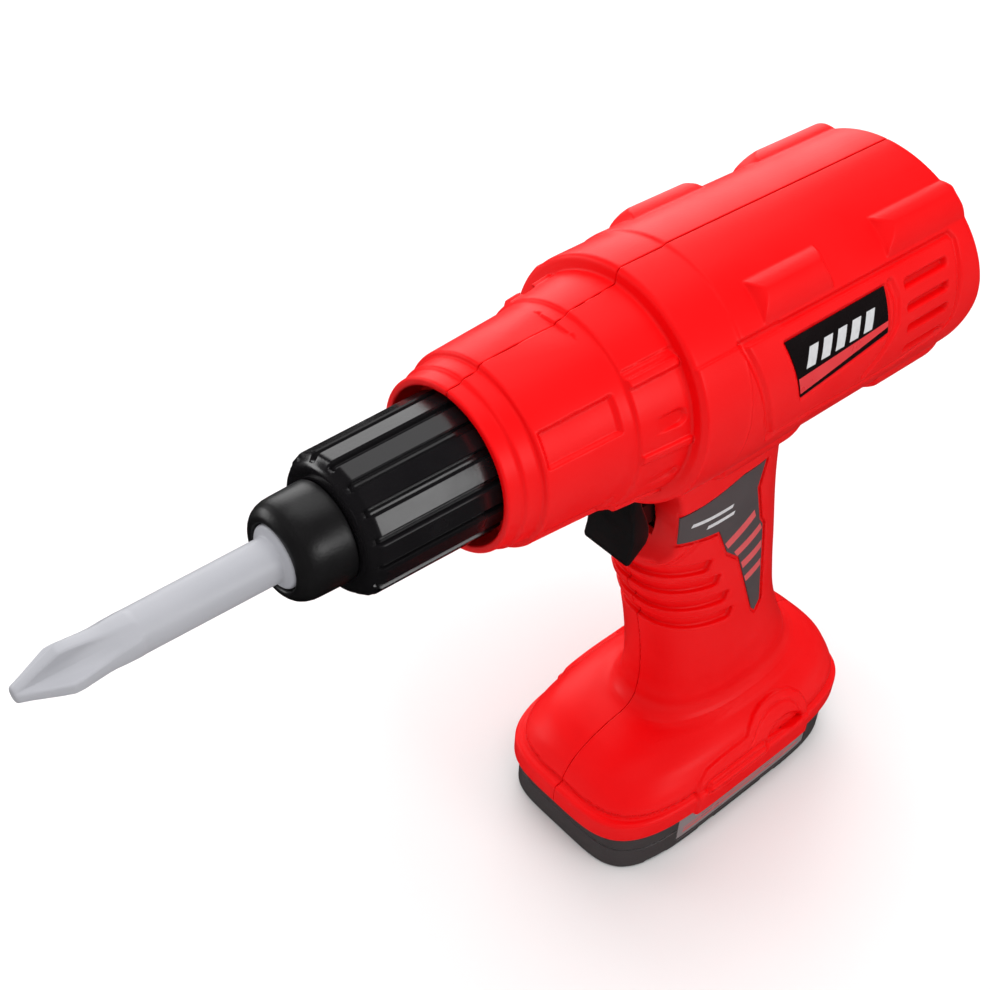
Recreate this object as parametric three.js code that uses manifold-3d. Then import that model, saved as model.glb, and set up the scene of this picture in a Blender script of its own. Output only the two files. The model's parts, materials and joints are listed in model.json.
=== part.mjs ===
// Toy power drill: a two-piece plastic housing with a geared chuck, a sprung trigger and a battery foot.
// Millimetres, +Z up. The bit points to -X and the drill stands on the flat underside of its battery case.
// The origin is the middle of that underside.
import * as THREE from 'three';
import { mergeVertices } from 'three/addons/utils/BufferGeometryUtils.js';
import Module from 'manifold-3d';

const wasm = await Module();
wasm.setup();

// Driving dimensions
const AXIS_HEIGHT = 155; // barrel axis above the surface the drill stands on
const GAP = 0.3; // clearance between neighbouring pieces
const WALL = 2.4; // housing wall
const FAR = 60; // reach of a cutter that passes right through
const ROUND = 32; // facets round the barrel

// Barrel, as stations along X and outer radii
const COLLAR_FRONT = -90;
const COLLAR_STEP = -86.3;
const CONE_FRONT = -82.3;
const RING_FRONT = -60;
const BAND_FRONT = -46.9;
const MAIN_FRONT = -33.6;
const ROUND_START = 44.5;
const BARREL_REAR = 48.6;
const END_AT_AXIS = 46.8; // where the leaning rear face crosses the barrel axis
const END_LEAN = 14.5; // degrees, top leaning forward
const COLLAR_RADIUS = 18.6;
const MOUTH_RADIUS = 16.8;
const RING_RADIUS = 23.2;
const BAND_RADIUS = 27.9;
const MAIN_RADIUS = 28.5;
const REAR_ROUND = 2.4; // how far the radius falls over the rounded rear edge
const BULKHEAD_FRONT = -83;
const BULKHEAD_REAR = -80.6;

// Chuck and bit
const NOSE_FRONT = -129.9;
const NOSE_REAR = -118.3;
const NOSE_RADIUS = 10.2;
const SLEEVE_FRONT = -118;
const SLEEVE_REAR = -86.7;
const SLEEVE_RADIUS = 15.3;
const FLUTES = 16;
const BIT_TIP = -179.8;
const BIT_RADIUS = 4.3;
const BIT_FLARE = 5.2; // radius at the shoulders of the cross tip
const SHANK_END = -103;
const SPINDLE_RADIUS = 3;
const SOCKET_RADIUS = 5.5;

// Gear train: motor pinion - compound gear - output gear, in a line above the barrel axis
const GEAR_MODULE = 0.8;
const LARGE_TEETH = 24;
const SMALL_TEETH = 8;
const CENTRE_DISTANCE = (GEAR_MODULE * (LARGE_TEETH + SMALL_TEETH)) / 2 + 0.05;
const FRONT_PLATE = -29;
const REAR_PLATE = -16;
const PLATE_THICKNESS = 2.4;
const PLATE_RADIUS = 25.4;
const PIN_RADIUS = 1;
const MOTOR_FRONT = -13.2;
const MOTOR_REAR = 8.8;
const MOTOR_RADIUS = 10;

// Trigger
const TRIGGER_FRONT = -40.2;
const TRIGGER_HEIGHT = 114;
const TRIGGER_HALF_WIDTH = 7.2;
const TRIGGER_WALL_REAR = TRIGGER_FRONT + 3.2; // back of the finger wall, where the spring sits
const STEM_REAR = -27.5;
const SWITCH_FRONT = -21.5;
const SCOOPS = [
  { x: -44.6, z: 115.5, radius: 15.4 },
  { x: -41.5, z: 107.5, radius: 13.7 },
];
const SLOT = { front: -46.7, rear: -22.4, halfWidth: 3.7, low: 104, high: 124 };
const SPRING_HEIGHT = 119;

// Foot and battery
const RIM_BOTTOM = 13.8;
const RIM_MIDDLE = 1.1;
const RIM_DEPTH = 49.1; // half lengths and widths, from the middle out
const RIM_WIDTH = 27.4;
const LATCH_RELIEF = 0.9; // how far the latch stands out of the foot
const CASE_HEIGHT = 13.4;
const NECK_TOP = 17;
const DOOR_THICKNESS = 2.4;
const CELL_RADIUS = 7;
const CELL_LENGTH = 49;
const CELL_HEIGHT = 11.9;
const CELL_PITCH = 14.6;
const DOOR_SCREW_X = 36.5;

const SCREWS = [
  [-54, 169],
  [-54, 141],
  [41.5, 155],
  [-9, 62],
  [30, 29],
];

// ---------- solids ----------

function toSolid(geometry) {
  const bare = geometry.clone();
  bare.deleteAttribute('normal');
  bare.deleteAttribute('uv');
  const merged = mergeVertices(bare, 1e-4);
  const index = merged.index.array;
  const triangles = [];
  for (let i = 0; i < index.length; i += 3) {
    const [a, b, c] = [index[i], index[i + 1], index[i + 2]];
    if (a !== b && b !== c && c !== a) triangles.push(a, b, c);
  }
  const vertProperties = new Float32Array(merged.attributes.position.array);
  const build = (list) => {
    const mesh = new wasm.Mesh({ numProp: 3, vertProperties, triVerts: Uint32Array.from(list) });
    return new wasm.Manifold(mesh);
  };
  const solid = build(triangles);
  return solid.volume() > 0 ? solid : build(triangles.reverse());
}

function toGeometry(solid) {
  const mesh = solid.getMesh();
  const geometry = new THREE.BufferGeometry();
  geometry.setAttribute('position', new THREE.BufferAttribute(mesh.vertProperties, 3));
  geometry.setIndex(new THREE.BufferAttribute(mesh.triVerts, 1));
  geometry.computeVertexNormals();
  return geometry;
}

function box(x0, x1, y0, y1, z0, z1) {
  const geometry = new THREE.BoxGeometry(x1 - x0, y1 - y0, z1 - z0);
  geometry.translate((x0 + x1) / 2, (y0 + y1) / 2, (z0 + z1) / 2);
  return toSolid(geometry);
}

// A solid turned about a line parallel to X; the profile lists [x, radius] and starts and ends on the
// axis, or closes on itself when it has a bore.
function turned(profile, segments = 32, y = 0, z = AXIS_HEIGHT) {
  const hasBore = profile[0][1] > 0;
  const stations = hasBore ? [...profile, profile[0]] : profile;
  const points = stations.map(([x, radius]) => new THREE.Vector2(radius, x));
  const geometry = new THREE.LatheGeometry(points, segments);
  geometry.rotateZ(-Math.PI / 2);
  geometry.translate(0, y, z);
  return toSolid(geometry);
}

function rodAlongX(x0, x1, radius, segments, y = 0, z = AXIS_HEIGHT) {
  return turned([[x0, 0], [x0, radius], [x1, radius], [x1, 0]], segments, y, z);
}

function rodAlongY(x, z, y0, y1, radius, segments = 16) {
  const geometry = new THREE.CylinderGeometry(radius, radius, y1 - y0, segments);
  geometry.translate(x, (y0 + y1) / 2, z);
  return toSolid(geometry);
}

function rodAlongZ(x, y, z0, z1, radius, segments = 16) {
  const geometry = new THREE.CylinderGeometry(radius, radius, z1 - z0, segments);
  geometry.rotateX(Math.PI / 2);
  geometry.translate(x, y, (z0 + z1) / 2);
  return toSolid(geometry);
}

// An outline of [x, z] points pushed through from y0 to y1.
function sidePrism(outline, y0, y1) {
  const shape = new THREE.Shape(outline.map(([x, z]) => new THREE.Vector2(x, z)));
  const geometry = new THREE.ExtrudeGeometry(shape, { depth: y1 - y0, bevelEnabled: false });
  geometry.rotateX(Math.PI / 2);
  geometry.translate(0, y1, 0);
  return toSolid(geometry);
}

// A stack of rounded sections [z, centre x, half depth, half width, squareness], lowest first.
function lofted(sections, inset = 0, count = 28) {
  const positions = [];
  const index = [];
  for (const [z, x, depth, width, power] of sections) {
    for (let i = 0; i < count; i += 1) {
      const angle = (2 * Math.PI * i) / count;
      const c = Math.cos(angle);
      const s = Math.sin(angle);
      const px = x + (depth - inset) * Math.sign(c) * Math.abs(c) ** (2 / power);
      const py = (width - inset) * Math.sign(s) * Math.abs(s) ** (2 / power);
      positions.push(px, py, z);
    }
  }
  const last = sections.length - 1;
  const bottom = positions.length / 3;
  positions.push(sections[0][1], 0, sections[0][0]);
  const top = bottom + 1;
  positions.push(sections[last][1], 0, sections[last][0]);
  for (let i = 0; i < count; i += 1) {
    const j = (i + 1) % count;
    for (let k = 0; k < last; k += 1) {
      const [a, b] = [k * count + i, k * count + j];
      index.push(a, b, b + count, a, b + count, a + count);
    }
    index.push(bottom, j, i);
    index.push(top, last * count + i, last * count + j);
  }
  const geometry = new THREE.BufferGeometry();
  geometry.setAttribute('position', new THREE.Float32BufferAttribute(positions, 3));
  geometry.setIndex(index);
  return toSolid(geometry);
}

// A round wire along a smooth path of points.
function wire(points, radius, steps, sides = 5) {
  const path = new THREE.CatmullRomCurve3(points.map(([x, y, z]) => new THREE.Vector3(x, y, z)));
  const section = new THREE.Shape();
  for (let i = 0; i < sides; i += 1) {
    const angle = (2 * Math.PI * i) / sides;
    const method = i === 0 ? 'moveTo' : 'lineTo';
    section[method](radius * Math.cos(angle), radius * Math.sin(angle));
  }
  const geometry = new THREE.ExtrudeGeometry(section, { steps, extrudePath: path, bevelEnabled: false });
  return toSolid(geometry);
}

// A coil spring about a line parallel to X.
function coil(x0, x1, r0, r1, turns, wireRadius, y, z) {
  const points = [];
  const perTurn = 7;
  const count = turns * perTurn;
  for (let i = 0; i <= count; i += 1) {
    const t = i / count;
    const angle = 2 * Math.PI * turns * t;
    const radius = r0 + (r1 - r0) * t;
    points.push([x0 + (x1 - x0) * t, y + radius * Math.cos(angle), z + radius * Math.sin(angle)]);
  }
  return wire(points, wireRadius, count, 4);
}

function join(...solids) {
  return solids.reduce((sum, solid) => sum.add(solid));
}

function cut(body, ...solids) {
  return solids.reduce((rest, solid) => rest.subtract(solid), body);
}

// ---------- housing ----------

function barrelOutline() {
  const profile = [
    [COLLAR_FRONT, 0],
    [COLLAR_FRONT, COLLAR_RADIUS - 0.5],
    [COLLAR_FRONT + 0.6, COLLAR_RADIUS],
    [COLLAR_STEP, COLLAR_RADIUS + 0.2],
    [COLLAR_STEP, COLLAR_RADIUS + 0.8],
    [CONE_FRONT, COLLAR_RADIUS + 1.1],
    [CONE_FRONT, COLLAR_RADIUS + 2.2],
    [RING_FRONT - 1.2, COLLAR_RADIUS + 3.6],
    [RING_FRONT, RING_RADIUS],
    [BAND_FRONT, RING_RADIUS + 1.4],
    [BAND_FRONT, BAND_RADIUS],
    [MAIN_FRONT, BAND_RADIUS + 0.3],
    [MAIN_FRONT, MAIN_RADIUS],
  ];
  const roundLength = BARREL_REAR - ROUND_START;
  for (let i = 0; i <= 4; i += 1) {
    const angle = (Math.PI / 2) * (i / 4);
    const radius = MAIN_RADIUS - REAR_ROUND * (1 - Math.cos(angle));
    profile.push([ROUND_START + roundLength * Math.sin(angle), radius]);
  }
  profile.push([BARREL_REAR, 0]);
  return profile;
}

// Everything behind the leaning rear face of the barrel, moved along by an offset.
function behindEnd(offset) {
  const slab = new THREE.BoxGeometry(FAR, FAR * 2, FAR);
  slab.translate(FAR / 2 + offset, 0, 0);
  slab.rotateY(-THREE.MathUtils.degToRad(END_LEAN));
  slab.translate(END_AT_AXIS, 0, AXIS_HEIGHT);
  return toSolid(slab);
}

function barrelCavity() {
  const mouth = turned([
    [COLLAR_FRONT - 5, 0],
    [COLLAR_FRONT - 5, MOUTH_RADIUS],
    [BULKHEAD_FRONT, MOUTH_RADIUS],
    [BULKHEAD_FRONT, 0],
  ], ROUND);
  const inside = turned([
    [BULKHEAD_REAR, 0],
    [BULKHEAD_REAR, COLLAR_RADIUS - 0.4],
    [RING_FRONT - 1, COLLAR_RADIUS + 1],
    [RING_FRONT + 1, RING_RADIUS - WALL],
    [BAND_FRONT, RING_RADIUS - WALL + 1.4],
    [BAND_FRONT + WALL, BAND_RADIUS - WALL + 0.3],
    [ROUND_START, MAIN_RADIUS - WALL - 0.2],
    [BARREL_REAR - WALL, MAIN_RADIUS - REAR_ROUND - WALL],
    [BARREL_REAR - WALL, 0],
  ], ROUND);
  return join(mouth, inside).subtract(behindEnd(-WALL));
}

// Handle from inside the barrel down to where it meets the foot, then the domed foot and its rim.
const HANDLE_SECTIONS = [
  [33.6, 8.2, 32, 17, 2.4],
  [36.5, 7.4, 28.6, 15.6, 2.5],
  [42, 6.5, 26.3, 14.9, 2.6],
  [51, 3.9, 24.2, 14.5, 2.7],
  [62, 0.6, 23, 14.3, 2.8],
  [74, -2.8, 23.1, 14.3, 2.8],
  [85.5, -6, 23.9, 14.3, 2.8],
  [108.6, -12.2, 24.9, 14.3, 2.8],
  [138, -15.1, 24.3, 14.3, 2.8],
];

const FOOT_SECTIONS = [
  [RIM_BOTTOM, RIM_MIDDLE, RIM_DEPTH, RIM_WIDTH, 3.4],
  [20.6, RIM_MIDDLE, RIM_DEPTH - 0.3, RIM_WIDTH - 0.2, 3.4],
  [21.2, 1.5, 47.2, 26.3, 3.4],
  [24, 2.1, 46.5, 26.1, 3.3],
  [26.9, 2.9, 45.3, 25, 3.2],
  [30, 4.2, 42.5, 22.6, 3],
  [32.2, 5.5, 39, 19.6, 2.8],
  [33.8, 7.3, 34.2, 17, 2.5],
  [34.6, 8, 29, 14, 2.4],
];

// A rounded boss on the barrel: a low bar along X with sloping sides.
function pad(x0, x1, degrees) {
  const top = MAIN_RADIUS + 2.6;
  const halfWidth = 4.4;
  const shape = new THREE.Shape();
  shape.moveTo(-halfWidth - 1.6, MAIN_RADIUS - 3);
  shape.lineTo(-halfWidth, top - 0.9);
  shape.quadraticCurveTo(-halfWidth + 0.4, top, -halfWidth + 1.6, top);
  shape.lineTo(halfWidth - 1.6, top);
  shape.quadraticCurveTo(halfWidth - 0.4, top, halfWidth, top - 0.9);
  shape.lineTo(halfWidth + 1.6, MAIN_RADIUS - 3);
  const options = { depth: x1 - x0, bevelEnabled: false, curveSegments: 3 };
  const geometry = new THREE.ExtrudeGeometry(shape, options);
  geometry.rotateX(Math.PI / 2);
  geometry.rotateZ(Math.PI / 2);
  geometry.translate(x0, 0, 0);
  geometry.rotateX(THREE.MathUtils.degToRad(degrees - 90));
  geometry.translate(0, 0, AXIS_HEIGHT);
  return toSolid(geometry);
}

// Paired ribs along the narrow ring behind the cone.
function ringRib(degrees) {
  const geometry = new THREE.BoxGeometry(BAND_FRONT - RING_FRONT, 2.2, 3);
  geometry.translate((RING_FRONT + BAND_FRONT) / 2 + 0.4, 0, RING_RADIUS);
  geometry.rotateX(THREE.MathUtils.degToRad(degrees));
  geometry.translate(0, 0, AXIS_HEIGHT);
  return toSolid(geometry);
}

function barrelSolid() {
  let solid = turned(barrelOutline(), ROUND);
  for (const side of [-1, 1]) {
    for (const tilt of [40, 130]) {
      const x = tilt === 40 ? [-26.5, -3.5, 13, 38.8] : [-30, -6, 24, 46];
      solid = solid.add(pad(x[0], x[1], 90 - side * tilt));
      solid = solid.add(pad(x[2], x[3], 90 - side * tilt));
    }
    for (const middle of [45, 90, 135]) {
      solid = solid.add(ringRib(-side * (middle - 3)));
      solid = solid.add(ringRib(-side * (middle + 3)));
    }
  }
  const wedgeTop = AXIS_HEIGHT + COLLAR_RADIUS + 2.9;
  const wedge = box(CONE_FRONT + 3, RING_FRONT - 3, -6.6, 6.6, AXIS_HEIGHT, wedgeTop);
  return solid.add(wedge).subtract(behindEnd(0));
}

// Raised latch on each side of the foot: an arch with a half-moon hole over a long frame.
function latch(side) {
  const steps = 6;
  const outline = [
    [-23, RIM_BOTTOM + 1],
    [-23, 22],
    [-18, 29],
    [-4, 30],
  ];
  const hole = [];
  for (let i = 0; i <= steps; i += 1) {
    const angle = Math.PI * (1 - i / steps);
    outline.push([10 + 13 * Math.cos(angle), 28 + 9 * Math.sin(angle)]);
    hole.push([11 + 7 * Math.cos(angle), 23 + 5 * Math.sin(angle)]);
  }
  outline.push([24, RIM_BOTTOM + 1]);
  const relief = lofted(FOOT_SECTIONS, -LATCH_RELIEF).intersect(onSide(outline, side, 8));
  const pocket = onSide(hole, side, 8).subtract(lofted(FOOT_SECTIONS, 0.4));
  return relief.subtract(pocket);
}

// Grip grooves round the front of the handle, rising a little towards the front.
const GROOVE_ENDS = [[-16, 93.3], [-11.7, 85.4], [-7, 76.9], [-3.4, 68.8]];
const GROOVE_WIDTH = 3.4;
const GROOVE_RISE = 10;

function gripGroove(x, z) {
  const slab = new THREE.BoxGeometry(34, FAR, GROOVE_WIDTH);
  slab.translate(-17, 0, 0);
  slab.rotateY(THREE.MathUtils.degToRad(GROOVE_RISE));
  slab.translate(x, 0, z);
  return cut(toSolid(slab), lofted(HANDLE_SECTIONS, 1.1));
}

const SIDE_LABEL = [
  [-22.3, 168.5],
  [10.2, 168.8],
  [11, 158.2],
  [-17.4, 154.2],
];
const HANDLE_LABEL = [
  [-29, 115],
  [-10.7, 119.6],
  [-1.5, 119.2],
  [-3.3, 111.5],
  [0.9, 98.8],
  [3.1, 95.8],
  [8.5, 66.4],
  [6.7, 63.8],
  [5.1, 65.6],
  [-5.7, 90.6],
  [-11, 95.4],
  [-15.7, 104.9],
  [-28, 106.3],
];
const BATTERY_LABEL = [
  [-24, 2.6],
  [30, 2.6],
  [30, 11.6],
  [-24, 11.6],
];

// The same outline grown by a distance, corner by corner.
function grown(outline, distance) {
  const count = outline.length;
  const area = outline.reduce((sum, [x, z], i) => {
    const [nx, nz] = outline[(i + 1) % count];
    return sum + x * nz - nx * z;
  }, 0);
  const turn = Math.sign(area);
  return outline.map((point, i) => {
    const before = new THREE.Vector2(...outline[(i + count - 1) % count]);
    const here = new THREE.Vector2(...point);
    const after = new THREE.Vector2(...outline[(i + 1) % count]);
    const inward = here.clone().sub(before).normalize();
    const onward = after.clone().sub(here).normalize();
    const n1 = new THREE.Vector2(inward.y, -inward.x).multiplyScalar(turn);
    const n2 = new THREE.Vector2(onward.y, -onward.x).multiplyScalar(turn);
    const corner = n1.clone().add(n2);
    const reach = distance / Math.max(0.5, 1 + n1.dot(n2));
    return [here.x + corner.x * reach, here.y + corner.y * reach];
  });
}

function onSide(outline, side, near = 0) {
  return side < 0 ? sidePrism(outline, -FAR, -near) : sidePrism(outline, near, FAR);
}

function ventSlots(side) {
  const slots = [166.9, 161.7, 156.3, 150].map((z) => {
    const [y0, y1] = side < 0 ? [-FAR, -5] : [5, FAR];
    return box(17.5, 33, y0, y1, z - 1, z + 1);
  });
  return join(...slots);
}

function screwBoss(x, z) {
  return rodAlongY(x, z, -FAR, FAR, 3.8, 8);
}

// A ring rib that cradles the motor, open below for the wire.
function motorRib(x) {
  const inner = MOTOR_RADIUS + 0.5;
  const outer = MAIN_RADIUS - 1;
  const ring = turned([[x, inner], [x, outer], [x + 1.8, outer], [x + 1.8, inner]], 24);
  return ring.subtract(box(x - 1, x + 3, -3, 3, AXIS_HEIGHT - 26, AXIS_HEIGHT));
}

function housingShell() {
  const barrel = barrelSolid();
  const scoop = join(...SCOOPS.map(({ x, z, radius }) => rodAlongY(x, z, -FAR, FAR, radius, 24)));
  const scoopWall = join(...SCOOPS.map(({ x, z, radius }) => rodAlongY(x, z, -FAR, FAR, radius + WALL, 24)));
  const handle = lofted(HANDLE_SECTIONS).subtract(scoop);
  const foot = lofted(FOOT_SECTIONS);
  const outer = join(barrel, handle, foot, latch(-1), latch(1));

  const handleCavity = lofted(HANDLE_SECTIONS, WALL).subtract(scoopWall);
  const footFloor = [[RIM_BOTTOM - 5, ...FOOT_SECTIONS[0].slice(1)]];
  const footInside = FOOT_SECTIONS.map(([z, ...rest], i) => [i === 0 ? z : z - WALL * 0.8, ...rest]);
  const footCavity = lofted([...footFloor, ...footInside], WALL);
  const joint = lofted(HANDLE_SECTIONS.slice(0, 3).map(([z, ...rest]) => [z - 6, ...rest]), WALL + 3);
  const cavity = join(barrelCavity(), handleCavity, footCavity, joint);

  let shell = outer.subtract(cavity);
  const ribs = join(motorRib(-9), motorRib(4));
  const bosses = join(...SCREWS.map(([x, z]) => screwBoss(x, z)));
  shell = shell.add(outer.intersect(join(ribs, bosses)));

  const slot = box(SLOT.front, SLOT.rear, -SLOT.halfWidth, SLOT.halfWidth, SLOT.low, SLOT.high);
  const bushHole = rodAlongX(BULKHEAD_FRONT - 1, BULKHEAD_REAR + 1, 6.3, 24);
  const grooves = GROOVE_ENDS.map(([x, z]) => gripGroove(x, z));
  shell = cut(shell, slot, bushHole, ...grooves);

  const floor = MAIN_RADIUS - 0.8;
  const skin = turned([[-30, floor], [-30, FAR], [20, FAR], [20, floor]], ROUND);
  for (const side of [-1, 1]) {
    shell = shell.subtract(skin.intersect(onSide(grown(SIDE_LABEL, GAP), side)));
    shell = shell.subtract(onSide(grown(HANDLE_LABEL, GAP), side, 12.5));
    shell = shell.subtract(ventSlots(side));
  }
  return shell;
}

const shell = housingShell();
const screwHoles = SCREWS.map(([x, z]) => rodAlongY(x, z, -12, FAR, 1.9, 8));
const screwWells = SCREWS.map(([x, z]) => rodAlongY(x, z, 8, FAR, 3.3, 10));

function housingHalf(side) {
  const [y0, y1] = side < 0 ? [-FAR, -GAP / 2] : [GAP / 2, FAR];
  const half = shell.intersect(box(-200, 100, y0, y1, -10, 220));
  return side < 0 ? cut(half, ...screwHoles) : cut(half, ...screwHoles, ...screwWells);
}

function housingScrew(x, z) {
  const shank = rodAlongY(x, z, -11.4, 8.6, 1.4, 8);
  const head = rodAlongY(x, z, 8 + GAP, 10.2, 2.7, 10);
  const cross = join(
    box(x - 1.7, x + 1.7, 9.3, 12, z - 0.4, z + 0.4),
    box(x - 0.4, x + 0.4, 9.3, 12, z - 1.7, z + 1.7),
  );
  return cut(join(shank, head), cross);
}

// ---------- labels ----------

function sideLabel(side) {
  const inner = MAIN_RADIUS - 0.5;
  const outer = MAIN_RADIUS - 0.1;
  const tube = turned([[-30, inner], [-30, outer], [20, outer], [20, inner]], ROUND);
  return tube.intersect(onSide(SIDE_LABEL, side));
}

function handleLabel(side) {
  const [y0, y1] = side < 0 ? [-13.2, -12.8] : [12.8, 13.2];
  return sidePrism(HANDLE_LABEL, y0, y1);
}

const CASE_SECTIONS = [
  [-1, 0.8, 45.6, 25.6, 4],
  [CASE_HEIGHT, 0.8, 45.6, 25.6, 4],
];

function batteryLabel(side) {
  const skin = lofted(CASE_SECTIONS, 0.05).subtract(lofted(CASE_SECTIONS, 0.45));
  return skin.intersect(onSide(BATTERY_LABEL, side));
}

// ---------- chuck, bit and spindle ----------

function chuckSleeve() {
  const body = turned([
    [SLEEVE_FRONT, SOCKET_RADIUS + GAP],
    [SLEEVE_FRONT, SLEEVE_RADIUS - 3.1],
    [SLEEVE_FRONT + 0.8, SLEEVE_RADIUS - 1.7],
    [SLEEVE_FRONT + 3, SLEEVE_RADIUS - 0.5],
    [SLEEVE_FRONT + 6, SLEEVE_RADIUS],
    [SLEEVE_REAR, SLEEVE_RADIUS + 0.5],
    [SLEEVE_REAR, SLEEVE_RADIUS - 1.8],
    [SLEEVE_FRONT + 6, SLEEVE_RADIUS - 2.8],
    [SLEEVE_FRONT + 5, SOCKET_RADIUS + 3],
    [SLEEVE_FRONT + 22, SOCKET_RADIUS + 2.4],
    [SLEEVE_FRONT + 22, SOCKET_RADIUS + GAP],
  ], 32);
  const grooves = [];
  for (let i = 0; i < FLUTES; i += 1) {
    const groove = new THREE.BoxGeometry(30, 1.1, 2);
    groove.translate(SLEEVE_FRONT + 17.5, 0, SLEEVE_RADIUS + 0.5);
    groove.rotateX((2 * Math.PI * (i + 0.5)) / FLUTES);
    groove.translate(0, 0, AXIS_HEIGHT);
    grooves.push(toSolid(groove));
  }
  return cut(body, ...grooves);
}

function chuckNose() {
  return turned([
    [NOSE_FRONT + 2.4, BIT_RADIUS - 0.5],
    [NOSE_FRONT + 2.4, 6.1],
    [NOSE_FRONT + 0.4, 6.4],
    [NOSE_FRONT, 7.2],
    [NOSE_FRONT + 0.5, 8.8],
    [NOSE_FRONT + 2, 9.9],
    [NOSE_FRONT + 4, NOSE_RADIUS],
    [NOSE_REAR, NOSE_RADIUS + 0.2],
    [NOSE_REAR, BIT_RADIUS - 0.5],
  ], 20);
}

function screwdriverBit() {
  const flange = NOSE_FRONT + 2.4 - GAP;
  const core = turned([
    [BIT_TIP, 0],
    [BIT_TIP, 1.1],
    [BIT_TIP + 8, 2.6],
    [BIT_TIP + 17, BIT_RADIUS],
    [flange - 3, BIT_RADIUS + 0.1],
    [flange - 2.4, 5.2],
    [flange - 1.4, 5.6],
    [flange, 5.6],
    [flange, 0],
  ], 20);
  const shank = turned([[flange - 1, 0], [flange - 1, 3.4], [SHANK_END, 3.4], [SHANK_END, 0]], 6);
  const envelope = turned([
    [BIT_TIP, 0],
    [BIT_TIP, 1.5],
    [BIT_TIP + 8, BIT_FLARE],
    [BIT_TIP + 9, BIT_FLARE],
    [BIT_TIP + 17, BIT_RADIUS - 0.2],
    [BIT_TIP + 17, 0],
  ], 20);
  const wings = join(
    box(BIT_TIP - 1, BIT_TIP + 18, -1.2, 1.2, AXIS_HEIGHT - 8, AXIS_HEIGHT + 8),
    box(BIT_TIP - 1, BIT_TIP + 18, -8, 8, AXIS_HEIGHT - 1.2, AXIS_HEIGHT + 1.2),
  );
  return join(core, shank, envelope.intersect(wings));
}

const OUTPUT_FRONT = FRONT_PLATE + PLATE_THICKNESS + 0.8;
const GEAR_WIDTH = 4;

function driveSpindle() {
  const socketRear = NOSE_REAR + 23;
  const front = NOSE_REAR + GAP;
  return turned([
    [front, 3.8],
    [front, SOCKET_RADIUS],
    [socketRear, SOCKET_RADIUS],
    [socketRear, SPINDLE_RADIUS],
    [OUTPUT_FRONT + GEAR_WIDTH, SPINDLE_RADIUS],
    [OUTPUT_FRONT + GEAR_WIDTH, 0.6],
    [SHANK_END + 1, 0.6],
    [SHANK_END + 1, 3.8],
  ], 16);
}

function spindleBush() {
  return turned([
    [BULKHEAD_FRONT + 0.2, SPINDLE_RADIUS + GAP],
    [BULKHEAD_FRONT + 0.2, 6],
    [BULKHEAD_REAR - 0.2, 6],
    [BULKHEAD_REAR - 0.2, SPINDLE_RADIUS + GAP],
  ], 16);
}

// ---------- gears ----------

// A spur gear with straight-sided teeth; with shift 0 a tooth points straight up and straight down.
function gear(teeth, x0, x1, bore, z, shift) {
  const pitch = (GEAR_MODULE * teeth) / 2;
  const root = pitch - 1.25 * GEAR_MODULE;
  const tip = pitch + 0.95 * GEAR_MODULE;
  const halfRoot = 0.54 / root;
  const halfTip = 0.16 / tip;
  const shape = new THREE.Shape();
  for (let i = 0; i < teeth; i += 1) {
    const middle = (2 * Math.PI * (i + shift)) / teeth;
    const corners = [
      [root, middle - halfRoot],
      [tip, middle - halfTip],
      [tip, middle + halfTip],
      [root, middle + halfRoot],
    ];
    corners.forEach(([radius, angle], k) => {
      const method = i === 0 && k === 0 ? 'moveTo' : 'lineTo';
      shape[method](radius * Math.cos(angle), radius * Math.sin(angle));
    });
  }
  const geometry = new THREE.ExtrudeGeometry(shape, { depth: x1 - x0, bevelEnabled: false });
  geometry.rotateY(Math.PI / 2);
  geometry.translate(x0, 0, z);
  return toSolid(geometry).subtract(rodAlongX(x0 - 1, x1 + 1, bore, 10, 0, z));
}

const UPPER_AXIS = AXIS_HEIGHT + CENTRE_DISTANCE;
const COMPOUND_STEP = OUTPUT_FRONT + GEAR_WIDTH + 1;
const COMPOUND_REAR = COMPOUND_STEP + 3.4;

function outputGear() {
  return gear(LARGE_TEETH, OUTPUT_FRONT, OUTPUT_FRONT + GEAR_WIDTH, SPINDLE_RADIUS + GAP, AXIS_HEIGHT, 0);
}

function compoundGear() {
  const small = gear(SMALL_TEETH, OUTPUT_FRONT - 0.4, COMPOUND_STEP + 1, PIN_RADIUS + GAP, UPPER_AXIS, 0.5);
  const large = gear(LARGE_TEETH, COMPOUND_STEP, COMPOUND_REAR, PIN_RADIUS + GAP, UPPER_AXIS, 0.5);
  return join(small, large);
}

function motorPinion() {
  return gear(SMALL_TEETH, COMPOUND_STEP - 0.1, COMPOUND_REAR + 0.3, PIN_RADIUS + GAP, AXIS_HEIGHT, 0);
}

function gearPin() {
  const rear = REAR_PLATE + PLATE_THICKNESS - 0.2;
  return rodAlongX(FRONT_PLATE + 0.4, rear, PIN_RADIUS, 10, 0, UPPER_AXIS);
}

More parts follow.
